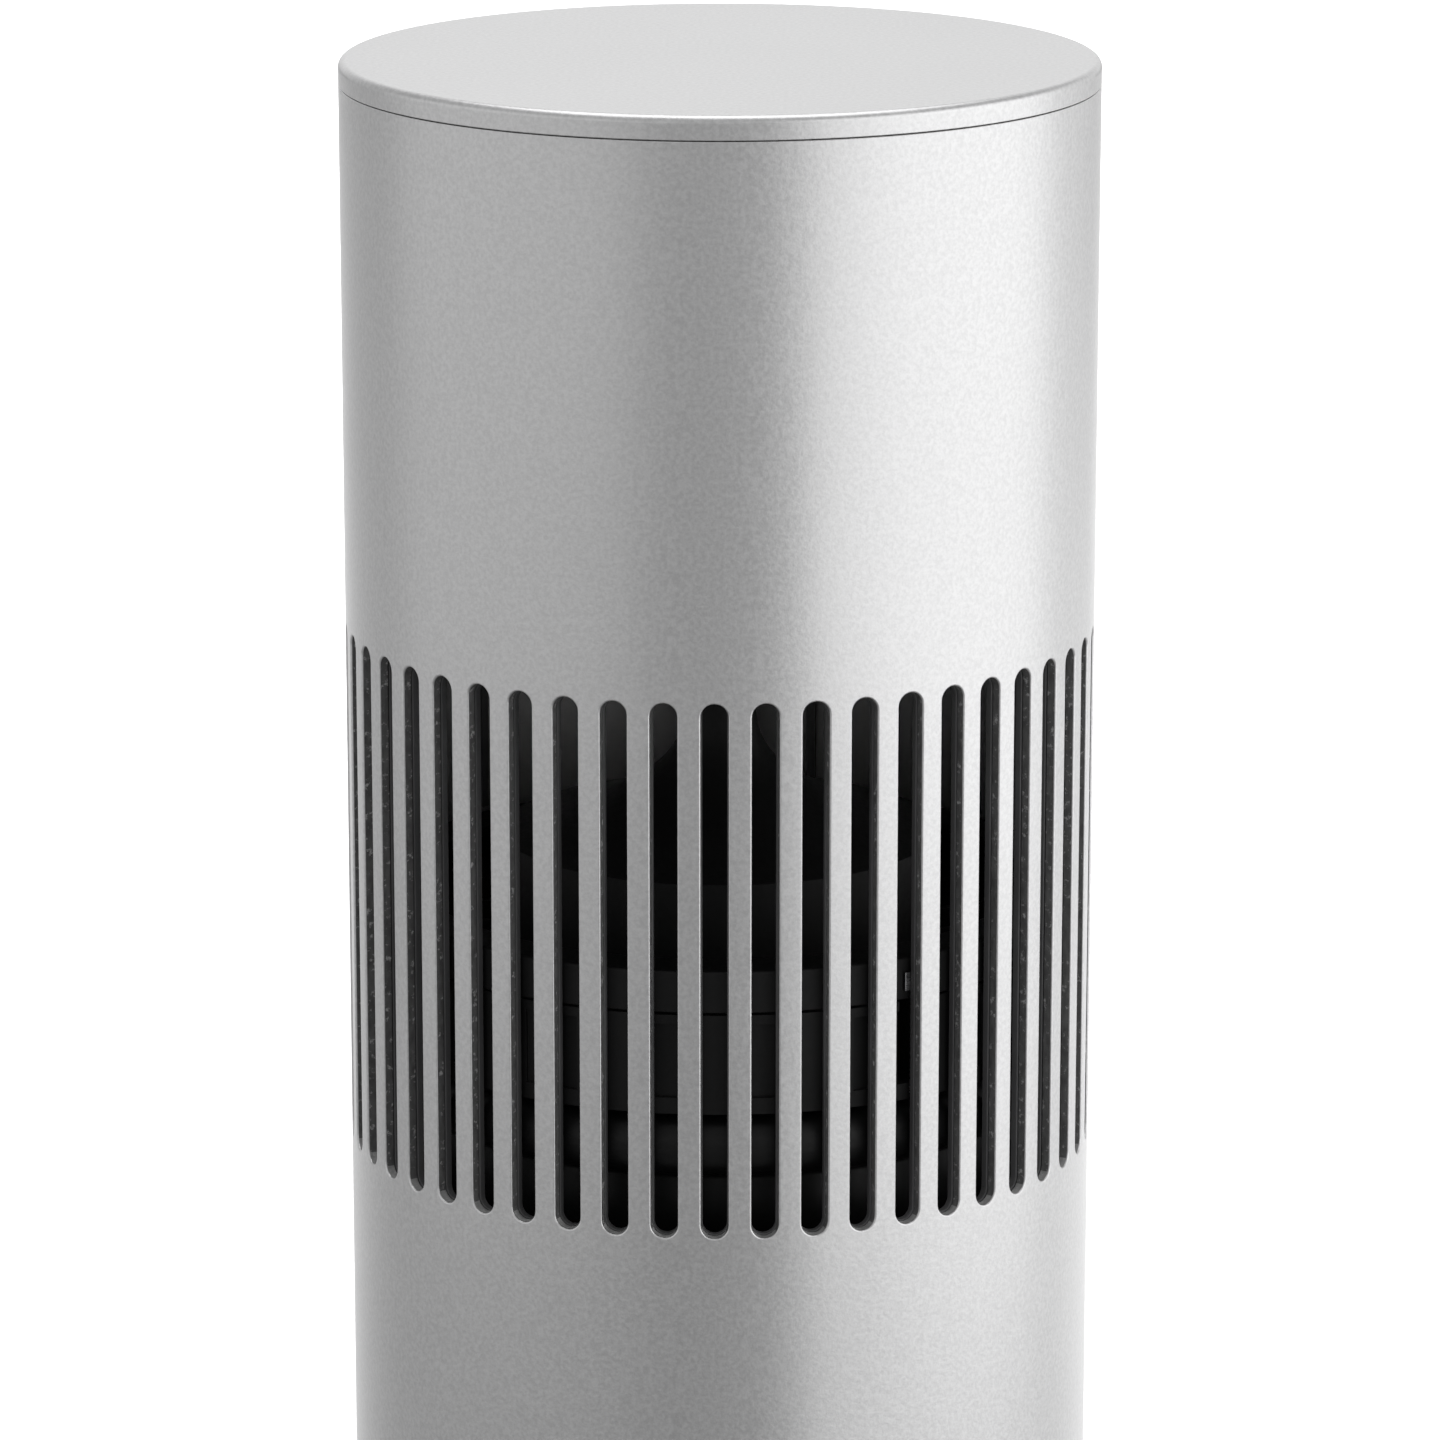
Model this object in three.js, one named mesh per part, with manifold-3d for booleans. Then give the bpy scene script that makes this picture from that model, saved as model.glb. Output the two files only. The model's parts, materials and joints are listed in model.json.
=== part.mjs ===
// A tower fan: a slotted aluminium tube on a round base. Air comes in through the lower slot ring. An impeller
// drives it up a duct and past guide vanes. It leaves forwards through the upper slots, which stop short of the
// back. The cap is the speed dial.
// Millimetres, +Z up, origin on the floor under the middle of the base. The rear panel faces +Y.

import * as THREE from "three";
import { mergeGeometries, mergeVertices } from "three/addons/utils/BufferGeometryUtils.js";
import Module from "manifold-3d";

const wasm = await Module();
wasm.setup();

// Driving dimensions.
const height = 900;
const tubeRadius = 80;
const tubeWall = 2;
const baseRadius = 120;
const slotCount = 48;
const outletSlots = 27;
const slotWidth = 5.6;
const slotLength = 113.7;
const bandAboveSlots = 120.1;
const intakeBottom = 82;
const podRadius = 40;
const ductRadius = 63;
const gap = 0.3;

// Sizes that follow from them.
const tubeInner = tubeRadius - tubeWall;
const linerWall = 1.4;
const linerOuter = tubeInner - gap;
const linerInner = linerOuter - linerWall;
const insideFit = tubeInner - 2 * gap;
const outletTop = height - bandAboveSlots;
const outletBottom = outletTop - slotLength;
const intakeTop = intakeBottom + slotLength;

// Levels, from the floor up.
const footHeight = 3;
const baseTop = 13;
const tubeBottom = 17;
const supplyLevel = 24;
const panelLow = 25;
const panelHigh = 63;
const panelMiddle = (panelLow + panelHigh) / 2;
const floorLevel = intakeBottom - 8;
const floorSheet = 3;
const linerMargin = 3.5;
const bellLow = intakeTop + 4;
const ductBottom = bellLow + 22;
const mountLevel = 598;
const lipTop = 691;
const vaneBottom = lipTop + 0.5;
const vaneTop = 712.8;
const flangeLow = 713.3;
const flangeTop = 722.2;
const outletDeckLevel = 788;
const deckThickness = 3;
const boardThickness = 1.6;
const dialDeckLevel = 866;
const capHeight = 4.6;
const capBottom = height - capHeight;
const tubeTop = capBottom - 0.5;
const hubLow = 884.8;

// How finely round pieces are faceted.
const fine = 48;
const medium = 24;
const coarse = 8;

// ---------- Shapes ----------

function toSolid(geometry) {
  const bare = geometry.clone();
  bare.deleteAttribute("normal");
  bare.deleteAttribute("uv");
  const merged = mergeVertices(bare, 1e-4);
  const triVerts = new Uint32Array(merged.index.array);
  const vertProperties = merged.attributes.position.array;
  return new wasm.Manifold(new wasm.Mesh({ numProp: 3, vertProperties, triVerts }));
}

function toGeometry(solid) {
  const mesh = solid.getMesh();
  const geometry = new THREE.BufferGeometry();
  geometry.setAttribute("position", new THREE.BufferAttribute(new Float32Array(mesh.vertProperties), 3));
  geometry.setIndex(new THREE.BufferAttribute(new Uint32Array(mesh.triVerts), 1));
  const flat = geometry.toNonIndexed();
  flat.computeVertexNormals();
  return flat;
}

const cut = (body, tools) => toGeometry(tools.reduce((rest, tool) => rest.subtract(toSolid(tool)), toSolid(body)));
const join = (pieces) => toGeometry(pieces.map(toSolid).reduce((whole, piece) => whole.add(piece)));

// A closed outline of [radius, z] points, counter-clockwise, turned about the Z axis.
function turned(outline, segments = medium) {
  const points = outline.map(([radius, z]) => new THREE.Vector2(radius, z));
  if (outline[0][0] > 0) points.push(points[0].clone());
  return new THREE.LatheGeometry(points, segments).rotateX(Math.PI / 2);
}

function disc(radius, low, high, segments = medium) {
  return turned([[0, low], [radius, low], [radius, high], [0, high]], segments);
}

function ring(inner, outer, low, high, segments = medium) {
  return turned([[inner, low], [outer, low], [outer, high], [inner, high]], segments);
}

function block(width, depth, low, high, x = 0, y = 0) {
  return new THREE.BoxGeometry(width, depth, high - low).translate(x, y, (low + high) / 2);
}

// An XY shape drawn up from one level to another.
function extruded(shape, low, high, curveSegments = 6) {
  return new THREE.ExtrudeGeometry(shape, { depth: high - low, bevelEnabled: false, curveSegments })
    .translate(0, 0, low);
}

// Points of an arc about a centre, in degrees.
function arc(centreX, centreY, radius, from, to, steps) {
  return Array.from({ length: steps + 1 }, (_, i) => {
    const angle = THREE.MathUtils.degToRad(from + ((to - from) * i) / steps);
    return [centreX + radius * Math.cos(angle), centreY + radius * Math.sin(angle)];
  });
}

function shapeOf(points) {
  return new THREE.Shape(points.map(([x, y]) => new THREE.Vector2(x, y)));
}

// Copies of a piece made for the +Y side, turned about Z by each bearing in degrees.
function turnedCopies(geometry, bearings) {
  return bearings.map((bearing) => geometry.clone().rotateZ(THREE.MathUtils.degToRad(bearing)));
}

const evenly = (count, first = 0) => Array.from({ length: count }, (_, i) => first + (360 * i) / count);
const at = (radius, bearing) => {
  const angle = THREE.MathUtils.degToRad(bearing);
  return [-radius * Math.sin(angle), radius * Math.cos(angle)];
};

// ---------- Materials ----------

const metal = (color, roughness) => new THREE.MeshStandardMaterial({ color, roughness, metalness: 1 });
const plastic = (color, roughness) => new THREE.MeshStandardMaterial({ color, roughness, metalness: 0 });
const aluminium = metal(0xc9c9ca, 0.45);
const steel = metal(0x9a9c9f, 0.3);
const brass = metal(0xb59a5b, 0.35);
const paintedSteel = metal(0xc4c4c6, 0.5);
const darkPlastic = plastic(0x1c1c1e, 0.45);
const glossPlastic = plastic(0x0e0e10, 0.2);
const greyPlastic = plastic(0x4a4a4d, 0.55);
const rubber = plastic(0x141414, 0.85);
const fibre = plastic(0x8b8d8c, 0.95);
const circuit = plastic(0x1f4a34, 0.5);
const glide = plastic(0xe6e6e2, 0.4);

// ---------- Group ----------

const group = new THREE.Group();

function add(name, geometry, material) {
  const mesh = new THREE.Mesh(geometry, material);
  mesh.name = name;
  group.add(mesh);
}

// ---------- Tube, liners and filter ----------

const intakeBearings = evenly(slotCount);
const frontBearing = 180;
const outletBearings = Array.from({ length: outletSlots }, (_, i) =>
  frontBearing + (360 / slotCount) * (i - (outletSlots - 1) / 2));

// One cutter for a row of slots, passing through walls near the given radius.
function slotCutters(radius, low, high, width, endSteps, bearings) {
  const half = width / 2;
  const outline = endSteps
    ? [...arc(0, high - half, half, 0, 180, endSteps), ...arc(0, low + half, half, 180, 360, endSteps)]
    : [[half, high], [-half, high], [-half, low], [half, low]];
  const reach = 8;
  const prism = new THREE.ExtrudeGeometry(shapeOf(outline), { depth: reach, bevelEnabled: false })
    .rotateX(Math.PI / 2)
    .translate(0, radius + reach / 2, 0);
  return mergeGeometries(turnedCopies(prism, bearings));
}

function buildTube() {
  const openingWidth = 60;
  const openingInset = 4;
  const facetTurn = Math.PI / slotCount;
  const shell = ring(tubeInner, tubeRadius, tubeBottom, tubeTop, slotCount).rotateZ(facetTurn);
  const tools = [
    slotCutters(tubeRadius, outletBottom, outletTop, slotWidth, 2, outletBearings),
    slotCutters(tubeRadius, intakeBottom, intakeTop, slotWidth, 2, intakeBearings),
    block(openingWidth, tubeRadius / 2, panelLow + openingInset, panelHigh - openingInset, 0, tubeRadius),
  ];
  add("outer_tube", cut(shell, tools), aluminium);
  const sleeve = (low, high) =>
    ring(linerInner, linerOuter, low - linerMargin, high + linerMargin, slotCount).rotateZ(facetTurn);
  const intakeCut = slotCutters(linerOuter, intakeBottom, intakeTop, slotWidth, 0, intakeBearings);
  add("intake_liner", cut(sleeve(intakeBottom, intakeTop), [intakeCut]), darkPlastic);
  // The closed back of the outlet liner is stiffened by upright ribs inside.
  const ribWidth = 2;
  const ribDepth = 1.6;
  const rib = block(ribWidth, ribDepth, flangeTop + 1, outletTop).translate(0, linerInner - ribDepth / 4, 0);
  const ribs = turnedCopies(rib, [-60, -45, -30, -15, 15, 30, 45, 60]);
  const outletCut = slotCutters(linerOuter, outletBottom, outletTop, slotWidth, 0, outletBearings);
  add("outlet_liner", cut(join([sleeve(outletBottom, outletTop), ...ribs]), [outletCut]), darkPlastic);
}

// A pleated sleeve, open at the rear where the wire conduit passes.
function buildFilter() {
  const pleats = 40;
  const openHalf = 7;
  const step = (360 - 2 * openHalf) / (2 * pleats);
  const zigzag = (peak, valley) => Array.from({ length: 2 * pleats + 1 }, (_, i) =>
    at(i % 2 ? valley : peak, openHalf + step * i));
  const crest = 75;
  const depth = 4;
  const cloth = 2;
  const outside = zigzag(crest, crest - depth);
  const inside = zigzag(crest - cloth, crest - depth - cloth);
  const outline = [...outside, ...inside.reverse()];
  add("intake_filter", extruded(shapeOf(outline), floorLevel + floorSheet + 0.5, bellLow - 0.5), fibre);
}

// ---------- Base ----------

const collarScrewBearings = evenly(3, 60);
const collarScrewRadius = 60;
const screwHeadRadius = 5;
const screwHeadLow = 4.5;
const screwHeadHigh = 8;
const screwShankRadius = 2.4;

function buildBase() {
  const edge = 3;
  const chamfer = 1;
  const plate = turned([
    [0, footHeight], [baseRadius - chamfer, footHeight], [baseRadius, footHeight + chamfer],
    ...arc(baseRadius - edge, baseTop - edge, edge, 0, 90, 3), [0, baseTop],
  ], fine);
  const footBearings = evenly(4, 45);
  const footPlace = 100;
  const footRadius = 9.5;
  const screwHoles = collarScrewBearings.flatMap((bearing) => [
    disc(screwShankRadius + 0.6, 0, baseTop + 1, coarse).translate(...at(collarScrewRadius, bearing), 0),
    disc(screwHeadRadius + 0.5, 0, screwHeadHigh, coarse).translate(...at(collarScrewRadius, bearing), 0),
  ]);
  add("base_plate", cut(plate, screwHoles), paintedSteel);
  footBearings.forEach((bearing, i) => {
    const pad = turned([
      [0, 0], [footRadius - chamfer, 0], [footRadius, chamfer], [footRadius, footHeight], [0, footHeight],
    ], 2 * coarse);
    add(`foot_${i + 1}`, pad.translate(...at(footPlace, bearing), 0), rubber);
  });
  buildCollar();
}

// The cup that carries the tube and the supply, with a cut in its wall for the rear panel.
function buildCollar() {
  const wallHigh = 46;
  const wall = 3;
  const middleHole = 16;
  const cup = turned([
    [middleHole, baseTop], [insideFit, baseTop], [insideFit, wallHigh], [insideFit - wall, wallHigh],
    [insideFit - wall, tubeBottom], [middleHole, tubeBottom],
  ], fine);
  const bossRadius = 6;
  const bossHigh = tubeBottom + 11;
  const bosses = collarScrewBearings.map((bearing) =>
    disc(bossRadius, baseTop + 1, bossHigh, coarse).translate(...at(collarScrewRadius, bearing), 0));
  const propRadius = 3;
  const props = [-30, 30].flatMap((x) => [-36, 24].map((y) =>
    disc(propRadius, baseTop + 1, supplyLevel, coarse).translate(x, y, 0)));
  const holeRadius = screwShankRadius + 0.4;
  const holes = collarScrewBearings.map((bearing) =>
    disc(holeRadius, baseTop - 1, bossHigh - 2, coarse).translate(...at(collarScrewRadius, bearing), 0));
  const window = block(panelWidth + 2, 30, panelLow - gap, wallHigh + 1, 0, insideFit);
  add("column_collar", cut(join([cup, ...bosses, ...props]), [window, ...holes]), darkPlastic);
  collarScrewBearings.forEach((bearing, i) => {
    const screw = turned([
      [0, screwHeadLow], [screwHeadRadius, screwHeadLow], [screwHeadRadius, screwHeadHigh],
      [screwShankRadius, screwHeadHigh], [screwShankRadius, bossHigh - 3], [0, bossHigh - 3],
    ], coarse);
    add(`collar_screw_${i + 1}`, screw.translate(...at(collarScrewRadius, bearing), 0), steel);
  });
}

function buildSupply() {
  const boardWidth = 74;
  const boardDepth = 72;
  const boardY = -6;
  const boardHigh = supplyLevel + boardThickness;
  const partHigh = boardHigh + 26;
  const core = { width: 34, depth: 12, x: -14, y: -14 };
  const winding = { width: 22, depth: 24, inset: 4 };
  const capacitor = { radius: 8, x: 20, y: 4 };
  add("supply_board", block(boardWidth, boardDepth, supplyLevel, boardHigh, 0, boardY), circuit);
  add("transformer", join([
    block(core.width, core.depth, boardHigh, partHigh, core.x, core.y),
    block(winding.width, winding.depth, boardHigh + winding.inset, partHigh - winding.inset, core.x, core.y),
  ]), greyPlastic);
  const can = disc(capacitor.radius, boardHigh, partHigh, coarse);
  add("bulk_capacitor", can.translate(capacitor.x, capacitor.y, 0), glossPlastic);
}

// ---------- Rear panel, inlet and rocker ----------

const panelWidth = 66;
const pocketFloor = 69.5;
const pocketRim = 6;
const bezelDepth = 1.5;
const inletX = -14;
const inletWidth = 21.6;
const inletHalf = 6.8;
const rockerX = 15;
const rockerPivotY = 65;
const rockerFrameWidth = 12;
const rockerFrameHalf = 9.7;

// A block that reaches as far above the middle of the panel as below it.
function panelBlock(width, depth, half, x, y) {
  return block(width, depth, panelMiddle - half, panelMiddle + half, x, y);
}

function buildRearPanel() {
  const depth = 18;
  const pocketWidth = panelWidth - 10;
  const through = 30;
  const housing = toSolid(block(panelWidth, depth, panelLow, panelHigh, 0, pocketFloor + 5))
    .intersect(toSolid(disc(linerOuter, 0, height, fine)));
  const tools = [
    block(pocketWidth, 20, panelLow + pocketRim, panelHigh - pocketRim, 0, pocketFloor + 10),
    panelBlock(inletWidth + 0.8, through, inletHalf + 0.4, inletX, pocketFloor),
    panelBlock(rockerFrameWidth + 0.6, through, rockerFrameHalf + gap, rockerX, pocketFloor),
  ];
  add("rear_panel", cut(toGeometry(housing), tools), darkPlastic);
}

// A two-pole inlet: a flanged body with a figure-of-eight well and two pins standing in it.
function buildInlet() {
  const bodyDepth = 18;
  const wellRadius = 4.2;
  const wellFloor = 2;
  const pinPlace = 4.3;
  const pinRadius = 1.2;
  const pinHigh = 13;
  const backY = pocketFloor - bodyDepth + 1;
  const well = shapeOf([
    ...arc(pinPlace, 0, wellRadius, -90, 90, 6), ...arc(-pinPlace, 0, wellRadius, 90, 270, 6),
  ]);
  const outward = (geometry) => geometry.rotateX(-Math.PI / 2).translate(inletX, backY, panelMiddle);
  const body = join([
    panelBlock(inletWidth, bodyDepth, inletHalf, inletX, pocketFloor - bodyDepth / 2),
    panelBlock(inletWidth + 3.4, bezelDepth, inletHalf + 2.2, inletX, pocketFloor + bezelDepth / 2),
  ]);
  add("mains_inlet", cut(body, [outward(extruded(well, wellFloor, 30))]), glossPlastic);
  [-pinPlace, pinPlace].forEach((x, i) => {
    add(`inlet_pin_${i + 1}`, outward(disc(pinRadius, wellFloor, pinHigh, 10).translate(x, 0, 0)), brass);
  });
}

function buildRocker() {
  const frameDepth = 12.5;
  const frameY = pocketFloor - 5.5;
  const mouthWidth = 10;
  const mouthHalf = 8.8;
  const frame = cut(
    join([
      panelBlock(rockerFrameWidth, frameDepth, rockerFrameHalf, rockerX, frameY),
      panelBlock(rockerFrameWidth + 3, bezelDepth, rockerFrameHalf + 1.3, rockerX, pocketFloor + bezelDepth / 2),
    ]),
    [panelBlock(mouthWidth, 40, mouthHalf, rockerX, pocketFloor)],
  );
  add("rocker_frame", frame, glossPlastic);
  const pinRadius = 1;
  const pinHalf = 4.9;
  const acrossX = (geometry) => geometry.rotateY(Math.PI / 2);
  const place = (geometry) => geometry.translate(rockerX, rockerPivotY, panelMiddle);
  add("rocker_pin", place(acrossX(disc(pinRadius, -pinHalf, pinHalf, 10))), steel);
  // Two faces that meet in a shallow valley. The rest pose has the lower half pressed in.
  const tilt = 9;
  const slope = THREE.MathUtils.degToRad(tilt);
  const valley = 6;
  const face = 7.4;
  const back = -2;
  const backHalf = 5.5;
  const side = [
    [valley, 0], [valley + face * Math.sin(slope), face * Math.cos(slope)], [back, backHalf],
    [back, -backHalf], [valley + face * Math.sin(slope), -face * Math.cos(slope)],
  ];
  const width = 9.2;
  const profile = extruded(shapeOf(side), -width / 2, width / 2);
  // The outline is drawn outwards and up, and stood on its side so that its depth runs along X.
  profile.applyMatrix4(new THREE.Matrix4().makeBasis(
    new THREE.Vector3(0, 1, 0), new THREE.Vector3(0, 0, 1), new THREE.Vector3(1, 0, 0),
  ));
  const bore = acrossX(disc(pinRadius + 0.4, -width, width, 12));
  add("mains_rocker", place(cut(profile, [bore]).rotateX(-slope)), darkPlastic);
}

// ---------- Air path ----------

// The space that the wire conduit needs through each wall at the rear.
const conduitY = 72;
const conduitWidth = 10;
const conduitDepth = 7.4;
const conduitNotch = (low, high) => block(conduitWidth + 1, conduitDepth + 4.6, low, high, 0, conduitY + 1.9);

function buildAirPath() {
  const coneHigh = floorLevel + 18;
  const sheetHigh = floorLevel + floorSheet;
  const intakeFloor = turned([
    [0, coneHigh - 2], [20, coneHigh - 7], [44, floorLevel + 2], [48, floorLevel], [insideFit, floorLevel],
    [insideFit, sheetHigh], [50, sheetHigh], [22, coneHigh - 4.5], [0, coneHigh],
  ]);
  add("intake_floor", cut(intakeFloor, [conduitNotch(floorLevel - 1, sheetHigh + 1)]), darkPlastic);

  // The bell narrows from the mouth to the duct along a quarter of an ellipse, inside and out.
  const socket = 10;
  const seat = ductRadius + 2.5;
  const flare = 13;
  const jacket = 4.6;
  const flangeHigh = bellLow + 3;
  const jacketRise = 14;
  const quarter = [0, 30, 60, 90].map((angle) => THREE.MathUtils.degToRad(angle));
  const bellInside = quarter.map((a) =>
    [ductRadius + flare * (1 - Math.sin(a)), bellLow + (ductBottom - bellLow) * (1 - Math.cos(a))]).reverse();
  const bellOutside = quarter.map((a) => [
    ductRadius + jacket + (flare - jacket) * (1 - Math.sin(a)),
    flangeHigh + jacketRise * (1 - Math.cos(a)),
  ]);
  const bell = turned([
    ...bellInside, [insideFit, bellLow], [insideFit, flangeHigh], ...bellOutside,
    [ductRadius + jacket, ductBottom + socket], [seat, ductBottom + socket], [seat, ductBottom],
  ]);
  add("inlet_bell", cut(bell, [conduitNotch(bellLow - 1, flangeHigh + jacketRise + 1)]), darkPlastic);

  const ductTop = mountLevel - 2;
  add("air_duct", ring(ductRadius, seat - gap, ductBottom, ductTop), darkPlastic);

  // The shroud ends in a rolled lip.
  const shroudWall = 2;
  const lip = 7.2;
  const lipMiddle = 68;
  const shroud = turned([
    [seat, ductTop - socket], [seat + shroudWall, ductTop - socket],
    [seat + shroudWall, lipTop - 2 * lip - 0.8], ...arc(lipMiddle, lipTop - lip, lip, -70, 90, 5),
    [ductRadius, lipTop], [ductRadius, ductTop], [seat, ductTop],
  ]);
  add("impeller_shroud", cut(shroud, [conduitNotch(lipTop - 20, lipTop + 1)]), glossPlastic);
}

// Guide vanes between an inner cup and an outer band. The band has shallow pockets between the vanes, and a
// window for each of the spring clips that hold the flange down.
function buildVaneRing() {
  const count = 20;
  const bandOuter = 75.2;
  const bandInner = 72.2;
  const cupOuter = podRadius + 7;
  const cupLow = lipTop - 14;
  const cupWall = 2.4;
  const vaneThickness = 1.8;
  const vaneLength = 27.5;
  const vaneLean = 14;
  const sillHeight = 2.5;
  const pocketFace = 74.2;
  const pocketWidth = 12;
  const pocketTool = 4;
  const windowWidth = 5;
  const clipBearings = evenly(4, 32.4);
  const windowLow = vaneBottom + 3.5;
  const band = ring(bandInner, bandOuter, vaneBottom, vaneTop, 2 * count);
  const sill = ring(ductRadius, bandInner + 1, vaneBottom, vaneBottom + sillHeight, 2 * count);
  const cup = turned([
    [0, cupLow], [cupOuter, cupLow], [cupOuter, vaneTop], [cupOuter - cupWall, vaneTop],
    [cupOuter - cupWall, cupLow + 2], [0, cupLow + 2],
  ]);
  const vane = block(vaneThickness, vaneLength, vaneBottom + 1, vaneTop - 1.5)
    .rotateZ(THREE.MathUtils.degToRad(vaneLean)).translate(0, (cupOuter + bandInner) / 2, 0);
  const pocketY = pocketFace + pocketTool / 2;
  const pocket = block(pocketWidth, pocketTool, windowLow, vaneTop - 2, 0, pocketY);
  const window = block(windowWidth, 12, windowLow, vaneTop + 1).translate(0, bandInner + 2, 0);
  const tools = [
    mergeGeometries(turnedCopies(pocket, evenly(count, 180 / count))),
    mergeGeometries(turnedCopies(window, clipBearings)),
    conduitNotch(vaneBottom - 1, vaneTop + 1),
  ];
  add("vane_ring", cut(join([band, sill, cup, ...turnedCopies(vane, evenly(count))]), tools), darkPlastic);

  const brimInner = 65;
  const brimLow = flangeTop - 2;
  const skirtInner = 73;
  const flange = turned([
    [brimInner, brimLow], [skirtInner, brimLow], [skirtInner, flangeLow], [bandOuter, flangeLow],
    [bandOuter, flangeTop], [brimInner, flangeTop],
  ], 2 * count);
  add("outlet_flange", cut(flange, [conduitNotch(flangeLow - 1, flangeTop + 1)]), darkPlastic);
  // A clip is a pad on the flange with a thin leg that hooks down over its window.
  const clipSheet = 0.6;
  const clipY = bandOuter + gap + clipSheet / 2;
  const padWidth = 3.6;
  const legWidth = 0.8;
  const clip = join([
    block(padWidth, clipSheet, flangeLow + 2, flangeLow + 6, 0, clipY),
    block(legWidth, clipSheet, windowLow - 2, flangeLow + 3, 0, clipY),
  ]);
  clipBearings.forEach((bearing, i) => {
    add(`flange_clip_${i + 1}`, turnedCopies(clip, [bearing])[0], steel);
  });
}

// The trumpet over the motor, on the cup of the vane ring. Its stem carries the middle of the outlet deck.
function buildTailCone() {
  const foot = podRadius + 7;
  const stem = 7.5;
  const brimHigh = vaneTop + 20;
  const stemLow = vaneTop + 52;
  const wall = 2.2;
  const steps = 5;
  const flare = (inset) => Array.from({ length: steps + 1 }, (_, i) => {
    const rise = 1 - Math.sqrt(1 - i / steps);
    return [stem - inset + (foot - stem) * (1 - rise) ** 3.2, brimHigh - inset + (stemLow - brimHigh) * rise];
  });
  add("tail_cone", turned([
    [foot - wall, vaneTop], [foot, vaneTop], ...flare(0), [stem, outletDeckLevel - gap],
    [stem - wall, outletDeckLevel - gap], ...flare(wall).reverse(),
  ]), glossPlastic);
}

// ---------- Motor and impeller ----------

const shaftRadius = 3;
const shaftBore = shaftRadius + gap;
const bearingRadius = 7.5;
const towerRadius = 10.5;

function buildMotor() {
  const discHigh = mountLevel + 4;
  const towerHigh = mountLevel + 51;
  const rimOuter = ductRadius - gap;
  const rimWall = 3;
  const arm = block(6, 30, mountLevel, discHigh).translate(0, 47, 0);
  const mount = join([
    disc(33, mountLevel, discHigh),
    ring(rimOuter - rimWall, rimOuter, mountLevel, mountLevel + 9),
    ring(bearingRadius + gap, towerRadius, discHigh - 1, towerHigh, 20),
    ...turnedCopies(arm, evenly(5)),
  ]);
  add("motor_mount", mount, darkPlastic);
  add("motor_board", ring(towerRadius + 1, 30, discHigh, discHigh + boardThickness, 24), circuit);
  const bearing = (low) => ring(shaftBore, bearingRadius, low, low + 5, 20);
  add("bearing_lower", bearing(discHigh), steel);
  add("bearing_upper", bearing(towerHigh - 6), steel);
  buildStator(discHigh + 10, discHigh + 38);
  add("motor_shaft", disc(shaftRadius, discHigh + 2, mountLevel + 74, coarse), steel);
  const canLow = discHigh + 6;
  const canHigh = mountLevel + 56;
  const canOuter = podRadius - 3;
  const canWall = 2.4;
  add("rotor_can", turned([
    [shaftBore, canHigh - canWall], [canOuter - canWall, canHigh - canWall], [canOuter - canWall, canLow],
    [canOuter, canLow], [canOuter, canHigh], [shaftBore, canHigh],
  ]), steel);
  buildImpeller(discHigh + 8, canHigh + gap);
}

// A toothed stack: each tooth is a neck with a wider head.
function buildStator(low, high) {
  const teeth = 9;
  const pitch = 360 / teeth;
  const boreRadius = towerRadius + gap;
  const rootRadius = 16;
  const neckRadius = 27;
  const headRadius = 29;
  const tipRadius = 33.4;
  const rootHalf = 0.32 * pitch;
  const neckHalf = 0.12 * pitch;
  const headHalf = 0.4 * pitch;
  const tooth = (middle) => [
    at(rootRadius, middle - rootHalf), at(neckRadius, middle - neckHalf), at(headRadius, middle - headHalf),
    at(tipRadius, middle - headHalf), at(tipRadius, middle), at(tipRadius, middle + headHalf),
    at(headRadius, middle + headHalf), at(neckRadius, middle + neckHalf), at(rootRadius, middle + rootHalf),
  ];
  const stack = shapeOf(evenly(teeth).flatMap(tooth));
  const bore = arc(0, 0, boreRadius, 360, 0, 20).slice(1);
  stack.holes.push(new THREE.Path(bore.map(([x, y]) => new THREE.Vector2(x, y))));
  add("motor_stator", extruded(stack, low, high), steel);
}

// One twisted blade, closed on all sides, reaching from inside the hub to the tip.
function blade(rootRadius, tipRadius, low, high) {
  const chordSteps = 4;
  const spanSteps = 1;
  const thickness = 1.8;
  const sweep = THREE.MathUtils.degToRad(44);
  const positions = [];
  for (const side of [-1, 1]) {
    for (let i = 0; i <= chordSteps; i++) {
      for (let j = 0; j <= spanSteps; j++) {
        const along = i / chordSteps;
        const radius = THREE.MathUtils.lerp(rootRadius, tipRadius, j / spanSteps);
        const angle = sweep * (1 - (1 - along) ** 1.5) + (side * thickness) / (2 * radius);
        const z = THREE.MathUtils.lerp(low, high, along);
        positions.push(radius * Math.cos(angle), radius * Math.sin(angle), z);
      }
    }
  }
  const row = spanSteps + 1;
  const layer = row * (chordSteps + 1);
  const index = [];
  const quad = (a, b, c, d) => index.push(a, b, c, a, c, d);
  for (let i = 0; i < chordSteps; i++) {
    for (let j = 0; j < spanSteps; j++) {
      const a = i * row + j;
      quad(a, a + 1, a + row + 1, a + row);
      quad(layer + a, layer + a + row, layer + a + row + 1, layer + a + 1);
    }
    const root = i * row;
    const tip = root + spanSteps;
    quad(root, root + row, layer + root + row, layer + root);
    quad(tip, layer + tip, layer + tip + row, tip + row);
  }
  for (let j = 0; j < spanSteps; j++) {
    const last = chordSteps * row + j;
    quad(j, layer + j, layer + j + 1, j + 1);
    quad(last, last + 1, layer + last + 1, layer + last);
  }
  const geometry = new THREE.BufferGeometry();
  geometry.setAttribute("position", new THREE.Float32BufferAttribute(positions, 3));
  geometry.setIndex(index);
  return geometry.toNonIndexed();
}

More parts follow.
